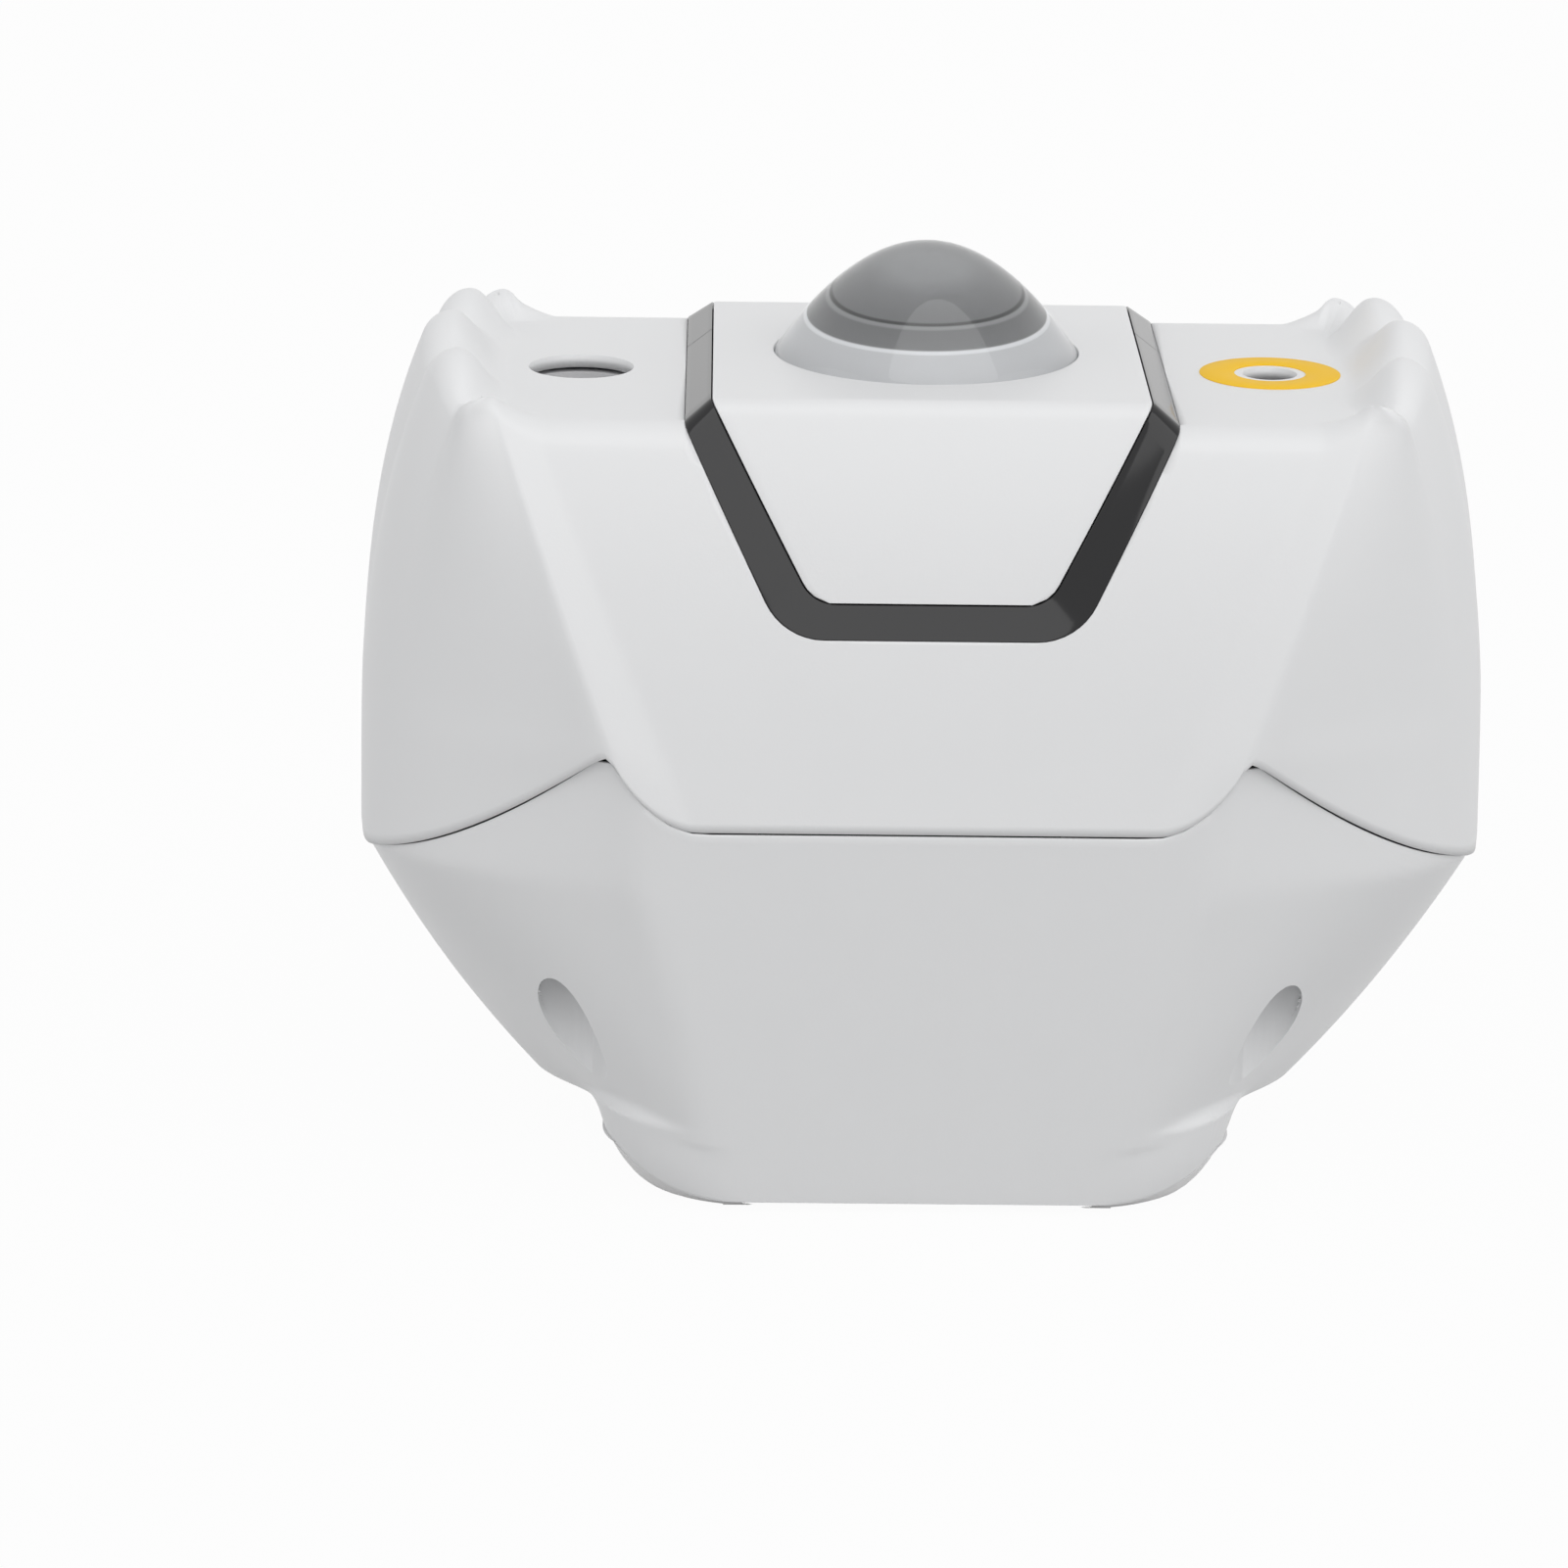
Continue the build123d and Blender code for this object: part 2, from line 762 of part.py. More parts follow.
# Dark trim round the raised centre, in a front and a rear half
with BuildPart() as trim_ring:
    extrude(outer_outline(-trim_gap), amount=far_out, both=True)
    extrude(inner_outline(trim_gap), amount=far_out, both=True, mode=Mode.SUBTRACT)
    extrude(
        side_profile(trim_face_depth, outer_low_height - overrun, raised_deck, raised_edge_radius),
        amount=side_half_width,
        both=True,
        mode=Mode.INTERSECT,
    )
    extrude(
        side_profile(trim_rear_depth, wing_floor, deck_height - trim_seat + trim_gap),
        amount=side_half_width,
        both=True,
        mode=Mode.SUBTRACT,
    )
    for side in (-1, 1):
        bevel = Plane(
            origin=(side * inner_top_half_width, 0, raised_deck),
            x_dir=(0, 1, 0),
            z_dir=(side * deck_raise, 0, outer_top_half_width - inner_top_half_width),
        )
        split(bisect_by=bevel, keep=Keep.BOTTOM)

with BuildPart() as trim_front:
    add(trim_ring.part)
    split(bisect_by=Plane.XZ.offset(trim_joint_gap / 2 - trim_joint_back), keep=Keep.TOP)

with BuildPart() as trim_rear:
    add(trim_ring.part)
    split(bisect_by=Plane.XZ.offset(-trim_joint_gap / 2 - trim_joint_back), keep=Keep.BOTTOM)

with BuildPart() as ir_receiver:
    with Locations((0, -receiver_front, receiver_level)):
        Box(receiver_width, receiver_depth, receiver_height, align=(Align.CENTER, Align.MIN, Align.CENTER))

# Outer form of the lower half: bowl and pedestal, both faced off to one front and one back
with BuildPart() as lower_form:
    loft([bowl_section(height, 0) for height in bowl_levels])
    loft(pedestal_sections(0))
    extrude(
        side_profile(lower_depth, base_height, bowl_top),
        amount=side_half_width + overrun,
        both=True,
        mode=Mode.INTERSECT,
    )
    extrude(skid_region(0), amount=far_out, both=True, mode=Mode.SUBTRACT)

with BuildPart() as lower_hollow:
    loft([bowl_section(height, wall) for height in bowl_inner_levels])
    loft(pedestal_sections(wall))
    extrude(
        side_profile(lower_wall_depth, base_height + wall, bowl_top),
        amount=side_half_width + overrun,
        both=True,
        mode=Mode.INTERSECT,
    )
    extrude(skid_region(wall), amount=far_out, both=True, mode=Mode.SUBTRACT)

# What stays standing inside the lower half
with BuildPart() as lower_posts:
    with Locations((0, 0, base_height)):
        with GridLocations(2 * well_x, 2 * well_y, 2, 2):
            Cylinder(well_radius + well_wall, case_post_low - base_height, align=up)
        with GridLocations(2 * board_post_x, 2 * board_post_y, 2, 2):
            Cylinder(board_post_radius, board_low - base_height, align=up)
    with BuildSketch(Plane.XZ.offset(-rear_board_face)):
        with Locations((-rear_post_x, rear_post_height), (rear_post_x, rear_post_height)):
            Circle(rear_post_radius)
    extrude(amount=rear_board_face - seam_half_depth)

with BuildPart() as lower_shell:
    add(lower_form.part)
    add(lower_hollow.part - lower_posts.part, mode=Mode.SUBTRACT)
    extrude(seam_region(-seam_gap, deck_height), amount=far_out, both=True, mode=Mode.SUBTRACT)
    with Locations((0, 0, base_height - overrun)):
        with GridLocations(2 * well_x, 2 * well_y, 2, 2):
            Cylinder(well_radius, well_roof_height - base_height + overrun, align=up, mode=Mode.SUBTRACT)
            Cylinder(
                case_screw_radius + screw_clearance,
                case_post_low - base_height + 2 * overrun,
                align=up,
                mode=Mode.SUBTRACT,
            )
    with Locations((0, 0, board_low)):
        with GridLocations(2 * board_post_x, 2 * board_post_y, 2, 2):
            Cylinder(
                board_screw_radius + screw_clearance,
                board_screw_bite + board_screw_radius,
                align=down,
                mode=Mode.SUBTRACT,
            )
    with BuildSketch(Plane.XZ.offset(-rear_board_face)):
        with Locations((-rear_post_x, rear_post_height), (rear_post_x, rear_post_height)):
            Circle(board_screw_radius + screw_clearance)
    extrude(amount=-board_screw_bite - board_screw_radius, mode=Mode.SUBTRACT)
    with BuildSketch(Plane.XZ.offset(-rear_board_face)):
        with Locations((-key_x, key_height), (key_x, key_height)):
            Circle(key_radius + key_hole_clearance)
        with Locations((0, key_height)):
            SlotOverall(inlet_width + 2 * inlet_clearance, inlet_height + 2 * inlet_clearance)
    extrude(amount=-seam_half_depth, mode=Mode.SUBTRACT)

# Two runners under the sloping edges of the pedestal
with BuildPart() as feet:
    skid_levels = [pedestal_kink_height * share for share in skid_level_shares]
    loft([pedestal_section(height, pedestal_width(height), skid_inset) for height in skid_levels])
    extrude(skid_region(0), amount=skid_half_length, both=True, mode=Mode.INTERSECT)

with BuildPart() as case_screws:
    with Locations((0, 0, well_roof_height)):
        with GridLocations(2 * well_x, 2 * well_y, 2, 2):
            Cylinder(case_screw_head_radius, case_screw_head_height, align=down)
            Cylinder(case_screw_radius, case_screw_length, align=up)

# Lens on the raised deck: a clear bulb, round below too, with a flange that the retainer presses up
with BuildPart() as dome_lens:
    lens_top = raised_deck + lens_rise
    cap_low = retainer_top - lens_cap_depth
    cap_reach = retainer_inner_radius - lens_cap_clearance
    cap_radius = (cap_reach**2 + lens_cap_depth**2) / (2 * lens_cap_depth)
    cap_middle = cap_low + cap_radius - (cap_radius**2 - (cap_reach / 2) ** 2) ** 0.5
    with BuildSketch(Plane.XZ):
        with BuildLine():
            Line((0, lens_top), (0, cap_low))
            ThreePointArc((0, cap_low), (cap_reach / 2, cap_middle), (cap_reach, retainer_top))
            Polyline(
                (cap_reach, retainer_top),
                (lens_flange_radius, retainer_top),
                (lens_flange_radius, raised_ceiling),
                (lens_radius, raised_ceiling),
                (lens_radius, raised_deck),
            )
            Bezier((lens_radius, raised_deck), (lens_radius / 2, lens_top), (0, lens_top))
        make_face()
    revolve(axis=Axis.Z)

with BuildPart() as lens_retainer:
    with BuildSketch(Plane.XY.offset(retainer_low)):
        Circle(retainer_outer_radius)
        Circle(retainer_inner_radius, mode=Mode.SUBTRACT)
        with PolarLocations(retainer_screw_circle, 4, start_angle=retainer_screw_angle):
            Circle(retainer_screw_radius + screw_clearance, mode=Mode.SUBTRACT)
    extrude(amount=retainer_thickness)

with BuildPart() as retainer_screws:
    with PolarLocations(retainer_screw_circle, 4, start_angle=retainer_screw_angle):
        with Locations((0, 0, retainer_low)):
            Cylinder(retainer_screw_head_radius, retainer_screw_head_height, align=down)
            Cylinder(
                retainer_screw_radius,
                raised_ceiling + retainer_screw_bite - screw_clearance - retainer_low,
                align=up,
            )

# Gear places and the turn of each gear that brings its teeth into mesh
motor_place = (-gear_module * (ripple_teeth + pinion_teeth) / 2, 0)
idler_reach = gear_module * (ripple_teeth + idler_teeth) / 2
idler_span = gear_module * (idler_teeth + grating_teeth) / 2
idler_angle = acos((idler_reach**2 + aperture_x**2 - idler_span**2) / (2 * idler_reach * aperture_x))
idler_place = (idler_reach * cos(idler_angle), idler_reach * sin(idler_angle))
grating_angle = atan2(-idler_place[1], aperture_x - idler_place[0])


def mesh_phase(teeth, phase, direction, next_teeth):
    """Turn of the next gear whose tooth gap meets the tooth nearest to the direction."""
    pitch = 2 * pi / teeth
    offset = phase + pitch * round((direction - phase) / pitch) - direction
    return direction + pi - offset * teeth / next_teeth + pi / next_teeth


def gear_ring(teeth, phase, place, bore):
    """Toothed ring in the gear plane, its teeth plain trapezoids."""
    pitch_radius = gear_module * teeth / 2
    tip = pitch_radius + addendum_share * gear_module
    root = pitch_radius - dedendum_share * gear_module
    corners = ((root, -tooth_root_share), (tip, -tooth_tip_share), (tip, tooth_tip_share), (root, tooth_root_share))
    points = []
    for tooth in range(teeth):
        for radius, share in corners:
            angle = phase + (2 * tooth + share) * pi / teeth
            points.append((place[0] + radius * cos(angle), place[1] + radius * sin(angle)))
    with BuildSketch(Plane.XY.offset(gear_low)) as ring:
        with BuildLine():
            Polyline(*points, close=True)
        make_face()
        with Locations(place):
            Circle(bore, mode=Mode.SUBTRACT)
    return ring.sketch


def turned(points, place=(0, 0)):
    """Half section of a turned piece, in radius and height, beside its upright axis."""
    with BuildSketch(Plane((*place, 0), x_dir=(1, 0, 0), z_dir=(0, -1, 0))) as section:
        with BuildLine():
            Polyline(*points, close=True)
        make_face()
    return section.sketch


def upright(place=(0, 0)):
    return Axis((*place, 0), (0, 0, 1))


def wheel_section(collar_radius, seat_radius):
    """Half section of a wheel that runs on a collar: skirt, lip over the collar, seat for a plate."""
    bore = collar_radius + running_gap
    outer = bore + wheel_skirt_wall
    lip_low = tube_top + running_gap
    lip_high = lip_low + wheel_lip_thickness
    return [
        (bore, wheel_skirt_low),
        (outer, wheel_skirt_low),
        (outer, gear_high),
        (seat_radius, gear_high),
        (seat_radius, lip_high),
        (bore - wheel_lip_width, lip_high),
        (bore - wheel_lip_width, lip_low),
        (bore, lip_low),
    ]


pinion_phase = mesh_phase(ripple_teeth, 0, pi, pinion_teeth)
idler_phase = mesh_phase(ripple_teeth, 0, idler_angle, idler_teeth)
grating_phase = mesh_phase(idler_teeth, idler_phase, grating_angle, grating_teeth)
plate_low = tube_top + running_gap + wheel_lip_thickness

# Chassis plate hung from the deck, which carries both light units and the gears
with BuildPart() as chassis_plate:
    with BuildSketch(Plane.XY.offset(chassis_under)):
        RectangleRounded(2 * chassis_half_length, 2 * chassis_half_depth, chassis_corner_radius)
        with Locations(motor_place):
            Circle(motor_boss_radius + motor_hole_clearance, mode=Mode.SUBTRACT)
            with GridLocations(0, 2 * motor_screw_y, 1, 2):
                Circle(motor_screw_radius + screw_clearance, mode=Mode.SUBTRACT)
        with Locations(laser_place):
            Circle(laser_radius + laser_hole_clearance, mode=Mode.SUBTRACT)
        with GridLocations(2 * chassis_post_x, 2 * chassis_post_y, 2, 2):
            Circle(chassis_screw_radius + screw_clearance, mode=Mode.SUBTRACT)
    extrude(amount=chassis_thickness)

with BuildPart() as chassis_screws:
    with Locations((0, 0, chassis_under)):
        with GridLocations(2 * chassis_post_x, 2 * chassis_post_y, 2, 2):
            Cylinder(chassis_screw_head_radius, chassis_screw_head_height, align=down)
            Cylinder(chassis_screw_radius, chassis_thickness + chassis_screw_bite, align=up)

# Main lamp: tube, board, emitters, condenser and heat sink
tube_flange_top = chassis_top + tube_flange_thickness
with BuildPart() as light_tube:
    revolve(
        turned(
            [
                (tube_bore_radius, chassis_top),
                (tube_flange_radius, chassis_top),
                (tube_flange_radius, tube_flange_top),
                (tube_outer_radius, tube_flange_top),
                (tube_outer_radius, tube_top),
                (tube_bore_radius, tube_top),
                (tube_bore_radius, tube_ledge_high),
                (tube_ledge_radius, tube_ledge_high),
                (tube_ledge_radius, tube_ledge_low),
                (tube_bore_radius, tube_ledge_low),
            ]
        ),
        axis=upright(),
    )

with BuildPart() as led_board:
    with Locations((0, 0, chassis_top)):
        Cylinder(led_board_radius, led_board_thickness, align=up)

with BuildPart() as led_emitters:
    with Locations((0, 0, chassis_top + led_board_thickness)):
        with GridLocations(led_spacing, led_spacing, 2, 2):
            Box(led_side, led_side, led_height, align=up)
        with Locations(moon_place):
            Box(led_side, led_side, led_height, align=up)

with BuildPart() as condenser_lens:
    rim_top = tube_ledge_high + condenser_flange_thickness
    with BuildSketch(Plane.XZ):
        with BuildLine():
            Polyline(
                (0, rim_top + condenser_crown),
                (0, condenser_low),
                (condenser_foot_radius, condenser_low),
                (condenser_neck_radius, tube_ledge_high),
                (condenser_flange_radius, tube_ledge_high),
                (condenser_flange_radius, rim_top),
                (condenser_neck_radius, rim_top),
            )
            Bezier(
                (condenser_neck_radius, rim_top),
                (condenser_neck_radius / 2, rim_top + condenser_crown),
                (0, rim_top + condenser_crown),
            )
        make_face()
    revolve(axis=Axis.Z)

with BuildPart() as heat_sink:
    with Locations((0, 0, chassis_under)):
        Box(sink_side, sink_side, sink_base, align=down)
    with Locations((0, 0, chassis_under - sink_base)):
        with GridLocations((sink_side - sink_fin_thickness) / (sink_fin_count - 1), 0, sink_fin_count, 1):
            Box(sink_fin_thickness, sink_side, sink_fin_height, align=down)

# Ripple wheel that turns round the light tube, with its clear plate
with BuildPart() as ripple_wheel:
    revolve(turned(wheel_section(tube_outer_radius, ripple_seat_radius)), axis=upright())
    extrude(gear_ring(ripple_teeth, 0, (0, 0), tube_outer_radius + wheel_skirt_wall / 2), amount=gear_width)

with BuildPart() as ripple_plate:
    with Locations((0, 0, plate_low)):
        Cylinder(ripple_seat_radius - plate_seat_clearance, plate_thickness, align=up)

# Gear motor under the chassis, with its shaft and pinion
motor_bore_low = chassis_under - motor_bore_depth
motor_top = chassis_top + motor_boss_rise
with BuildPart() as gear_motor:
    with Locations((*motor_place, chassis_under)):
        Cylinder(motor_radius, motor_length, align=down)
        Cylinder(motor_boss_radius, motor_top - chassis_under, align=up)
        with GridLocations(0, 2 * motor_screw_y, 1, 2):
            Cylinder(
                motor_screw_radius + screw_clearance,
                motor_screw_bite + motor_screw_radius,
                align=down,
                mode=Mode.SUBTRACT,
            )
    with Locations((*motor_place, motor_bore_low)):
        Cylinder(shaft_radius + running_gap, motor_top - motor_bore_low, align=up, mode=Mode.SUBTRACT)

with BuildPart() as motor_shaft:
    with Locations((*motor_place, motor_bore_low + shaft_end_gap)):
        Cylinder(shaft_radius, shaft_top - motor_bore_low - shaft_end_gap, align=up)

with BuildPart() as pinion:
    extrude(
        gear_ring(pinion_teeth, pinion_phase, motor_place, shaft_radius + press_clearance),
        amount=gear_width,
    )
    with Locations((*motor_place, pinion_hub_low)):
        Cylinder(pinion_hub_radius, gear_low - pinion_hub_low, align=up)
        Cylinder(shaft_radius + press_clearance, gear_low - pinion_hub_low, align=up, mode=Mode.SUBTRACT)

with BuildPart() as motor_screws:
    with Locations((*motor_place, chassis_top)):
        with GridLocations(0, 2 * motor_screw_y, 1, 2):
            Cylinder(motor_screw_head_radius, motor_screw_head_height, align=up)
            Cylinder(motor_screw_radius, chassis_thickness + motor_screw_bite, align=down)

# Idler between the ripple wheel and the grating wheel
axle_flange_top = chassis_top + axle_flange_thickness
axle_shoulder = gear_low - running_gap
with BuildPart() as idler_axle:
    revolve(
        turned(
            [
                (0, chassis_top),
                (axle_flange_radius, chassis_top),
                (axle_flange_radius, axle_flange_top),
                (axle_shoulder_radius, axle_flange_top),
                (axle_shoulder_radius, axle_shoulder),
                (axle_pin_radius, axle_shoulder),
                (axle_pin_radius, axle_top),
                (0, axle_top),
            ],
            idler_place,
        ),
        axis=upright(idler_place),
    )

with BuildPart() as idler_gear:
    extrude(gear_ring(idler_teeth, idler_phase, idler_place, axle_pin_radius + running_gap), amount=gear_width)

with BuildPart() as idler_clip:
    with Locations((*idler_place, gear_high + clip_gap)):
        Cylinder(clip_radius, clip_thickness, align=up)
        Cylinder(axle_pin_radius + press_clearance, clip_thickness, align=up, mode=Mode.SUBTRACT)

# Laser unit under the right hole
holder_flange_top = chassis_top + holder_flange_thickness
with BuildPart() as laser_holder:
    revolve(
        turned(
            [
                (holder_bore_radius, chassis_top),
                (holder_flange_radius, chassis_top),
                (holder_flange_radius, holder_flange_top),
                (holder_radius, holder_flange_top),
                (holder_radius, tube_top),
                (holder_bore_radius, tube_top),
            ],
            laser_place,
        ),
        axis=upright(laser_place),
    )

with BuildPart() as laser_module:
    revolve(
        turned(
            [
                (0, laser_low),
                (laser_radius, laser_low),
                (laser_radius, chassis_under - laser_flange_thickness),
                (laser_flange_radius, chassis_under - laser_flange_thickness),
                (laser_flange_radius, chassis_under),
                (laser_radius, chassis_under),
                (laser_radius, laser_top),
                (0, laser_top),
            ],
            laser_place,
        ),
        axis=upright(laser_place),
    )

with BuildPart() as grating_wheel:
    revolve(turned(wheel_section(holder_radius, grating_seat_radius), laser_place), axis=upright(laser_place))
    extrude(
        gear_ring(grating_teeth, grating_phase, laser_place, holder_radius + wheel_skirt_wall / 2),
        amount=gear_width,
    )

with BuildPart() as grating_film:
    with Locations((*laser_place, plate_low)):
        Cylinder(grating_seat_radius - plate_seat_clearance, film_thickness, align=up)

with BuildPart() as laser_window:
    with Locations((*laser_place, laser_boss_low)):
        Cylinder(laser_boss_radius, window_thickness, align=down)

with BuildPart() as laser_label:
    with BuildSketch(Plane.XY.offset(deck_height)):
        with Locations(laser_place):
            Circle(label_outer_radius)
            Circle(label_inner_radius, mode=Mode.SUBTRACT)
    extrude(amount=label_thickness)

# Moon unit under the left hole
barrel_flange_top = chassis_top + barrel_flange_thickness
barrel_top = deck_ceiling - barrel_top_gap
with BuildPart() as moon_barrel:
    revolve(
        turned(
            [
                (barrel_bore_radius, chassis_top),
                (barrel_flange_radius, chassis_top),
                (barrel_flange_radius, barrel_flange_top),
                (barrel_radius, barrel_flange_top),
                (barrel_radius, barrel_top),
                (barrel_bore_radius, barrel_top),
                (barrel_bore_radius, lens_ledge_high),
                (barrel_ledge_radius, lens_ledge_high),
                (barrel_ledge_radius, lens_ledge_low),
                (barrel_bore_radius, lens_ledge_low),
                (barrel_bore_radius, slide_ledge_high),
                (barrel_ledge_radius, slide_ledge_high),
                (barrel_ledge_radius, slide_ledge_low),
                (barrel_bore_radius, slide_ledge_low),
            ],
            moon_place,
        ),
        axis=upright(moon_place),
    )

moon_optic_radius = barrel_bore_radius - moon_fit_clearance
with BuildPart() as moon_lens:
    edge_top = lens_ledge_high + moon_lens_edge
    with BuildSketch(Plane((*moon_place, 0), x_dir=(1, 0, 0), z_dir=(0, -1, 0))):
        with BuildLine():
            Polyline(
                (0, edge_top + moon_lens_crown),
                (0, lens_ledge_high),
                (moon_optic_radius, lens_ledge_high),
                (moon_optic_radius, edge_top),
            )
            Bezier(
                (moon_optic_radius, edge_top),
                (moon_optic_radius / 2, edge_top + moon_lens_crown),
                (0, edge_top + moon_lens_crown),
            )
        make_face()
    revolve(axis=upright(moon_place))

with BuildPart() as moon_slide:
    with Locations((*moon_place, slide_ledge_high)):
        Cylinder(moon_optic_radius, slide_thickness, align=up)

with BuildPart() as moon_board:
    with Locations((*moon_place, chassis_top)):
        Cylinder(moon_optic_radius, led_board_thickness, align=up)

# Boards in the lower shell
with BuildPart() as main_board:
    with BuildSketch(Plane.XY.offset(board_low)):
        Rectangle(2 * board_half_length, 2 * board_half_depth)
        with GridLocations(2 * board_post_x, 2 * board_post_y, 2, 2):
            Circle(board_screw_radius + screw_clearance, mode=Mode.SUBTRACT)
    extrude(amount=board_thickness)

with BuildPart() as board_components:
    with Locations((0, 0, board_low + board_thickness)):
        with Locations((-capacitor_spacing, -capacitor_spacing / 2), (-capacitor_spacing, capacitor_spacing / 2)):
            Cylinder(capacitor_radius, capacitor_height, align=up)
        with Locations((chip_length / 2, 0)):
            Box(chip_length, chip_depth, chip_height, align=up)
        with Locations((chip_length + coil_side, capacitor_spacing)):
            Box(coil_side, coil_side, coil_height, align=up)

with BuildPart() as rear_board:
    with BuildSketch(Plane.XZ.offset(-rear_board_face)):
        with Locations((0, (rear_board_low + rear_board_high) / 2)):
            Rectangle(2 * rear_board_half_length, rear_board_high - rear_board_low)
        with Locations((-rear_post_x, rear_post_height), (rear_post_x, rear_post_height)):
            Circle(board_screw_radius + screw_clearance, mode=Mode.SUBTRACT)
    extrude(amount=board_thickness)

board_screw_length = board_thickness + board_screw_bite
with BuildPart() as board_screws:
    with Locations((0, 0, board_low + board_thickness)):
        with GridLocations(2 * board_post_x, 2 * board_post_y, 2, 2):
            Cylinder(board_screw_head_radius, board_screw_head_height, align=up)
            Cylinder(board_screw_radius, board_screw_length, align=down)
    with Locations(Plane.XZ.offset(board_thickness - rear_board_face)):
        with Locations((-rear_post_x, rear_post_height), (rear_post_x, rear_post_height)):
            Cylinder(board_screw_head_radius, board_screw_head_height, align=up)
            Cylinder(board_screw_radius, board_screw_length, align=down)

# Keys and inlet: everything faces the back, so heights on these planes run against -Y
plunger_tip = rear_board_face + switch_depth + plunger_depth
key_inner = plunger_tip + key_gap
key_flange_outer = key_inner + key_flange_thickness
key_outer = lower_depth(key_height) + key_proud

with BuildPart() as key_switches:
    with Locations(Plane.XZ.offset(-rear_board_face)):
        with Locations((-key_x, key_height), (key_x, key_height)):
            Box(switch_side, switch_side, switch_depth, align=down)
            Cylinder(plunger_radius, switch_depth + plunger_depth, align=down)

with BuildPart() as power_inlet:
    with BuildSketch(Plane.XZ.offset(-rear_board_face)):
        with Locations((0, key_height)):
            SlotOverall(inlet_width, inlet_height)
    extrude(amount=-inlet_depth)
    with BuildSketch(Plane.XZ.offset(-rear_board_face - inlet_depth)):
        with Locations((0, key_height)):
            SlotOverall(inlet_width - 2 * inlet_wall, inlet_height - 2 * inlet_wall)
            Rectangle(tongue_width, tongue_height, mode=Mode.SUBTRACT)
    extrude(amount=inlet_mouth_depth, mode=Mode.SUBTRACT)


def key_solid(place):
    """A round key: flange behind the wall, cap through its hole."""
    with BuildPart() as key:
        with Locations(Plane.XZ.offset(-key_inner)):
            with Locations((place, key_height)):
                Cylinder(key_flange_radius, key_flange_outer - key_inner, align=down)
                Cylinder(key_radius, key_outer - key_inner, align=down)
    return key.part


with BuildPart() as power_button:
    add(key_solid(-key_x))

with BuildPart() as mode_button:
    add(key_solid(key_x))

pieces = {
    "upper_shell": upper_shell,
    "lower_shell": lower_shell,
    "trim_front": trim_front,
    "trim_rear": trim_rear,
    "ir_receiver": ir_receiver,
    "feet": feet,
    "case_screws": case_screws,
    "dome_lens": dome_lens,
    "lens_retainer": lens_retainer,
    "retainer_screws": retainer_screws,
    "chassis_plate": chassis_plate,
    "chassis_screws": chassis_screws,
    "light_tube": light_tube,
    "led_board": led_board,
    "led_emitters": led_emitters,
    "condenser_lens": condenser_lens,
    "heat_sink": heat_sink,
    "ripple_wheel": ripple_wheel,
    "ripple_plate": ripple_plate,
    "gear_motor": gear_motor,
    "motor_shaft": motor_shaft,
    "pinion": pinion,
    "motor_screws": motor_screws,
    "idler_axle": idler_axle,
    "idler_gear": idler_gear,
    "idler_clip": idler_clip,
    "laser_holder": laser_holder,
    "laser_module": laser_module,
    "grating_wheel": grating_wheel,
    "grating_film": grating_film,
    "laser_window": laser_window,
    "laser_label": laser_label,
    "moon_barrel": moon_barrel,
    "moon_lens": moon_lens,
    "moon_slide": moon_slide,
    "moon_board": moon_board,
    "main_board": main_board,
    "board_components": board_components,
    "rear_board": rear_board,
    "board_screws": board_screws,
    "key_switches": key_switches,
    "power_inlet": power_inlet,
    "power_button": power_button,
    "mode_button": mode_button,
}
for name, piece in pieces.items():
    piece.part.label = name
    export_step(piece.part, f"parts/{name}.step")
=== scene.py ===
from collections import namedtuple

import bmesh
import bpy
import numpy as np
from mathutils import Matrix, Vector


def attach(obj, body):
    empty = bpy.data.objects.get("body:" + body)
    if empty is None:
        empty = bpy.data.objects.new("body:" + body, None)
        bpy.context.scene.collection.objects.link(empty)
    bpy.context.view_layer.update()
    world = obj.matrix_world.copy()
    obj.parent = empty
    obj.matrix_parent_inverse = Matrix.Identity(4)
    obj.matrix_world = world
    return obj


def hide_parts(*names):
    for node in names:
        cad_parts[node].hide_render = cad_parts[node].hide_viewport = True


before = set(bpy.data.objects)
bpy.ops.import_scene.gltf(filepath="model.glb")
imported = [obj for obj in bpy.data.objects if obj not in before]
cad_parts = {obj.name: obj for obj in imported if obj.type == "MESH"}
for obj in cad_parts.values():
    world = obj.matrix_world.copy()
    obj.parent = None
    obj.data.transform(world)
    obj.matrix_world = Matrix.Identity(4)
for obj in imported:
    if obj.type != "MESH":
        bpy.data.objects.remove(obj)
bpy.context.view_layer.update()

# Sizes of the case in millimetres, the main ones as in the part
MM = 0.001
DECK = 151.1
DECK_DEPTH = 46.7
DECK_RADIUS = 7.0
RAISED = 154.9
RAISED_RADIUS = 4.4
RECESS = 2.0
SEAM = 78.5
SEAM_DEPTH = 60.4
SEAM_GAP = 0.4
BASE = 2.0
BASE_DEPTH = 46.0
SIDE = 105.6
SIDE_HEIGHT = 66.0
UPPER_WALL = 2.4
PANEL_WALL = 1.6
LOWER_WALL = 1.0
GAP = 0.15

# How the walls curve: shares of a line or a bulge, and how far they draw in
PANEL_LINE_SHARE = 0.36
LOWER_BULGE_SHARE = 0.31
SIDE_DRAW = 8.9
SIDE_POWER = 3.3
BOWL_FOOT = 18.0
BOWL_LINE_DRAW = 17.7
BOWL_CURVE_DRAW = 11.8
LEVEL_LEAVE = 0.7

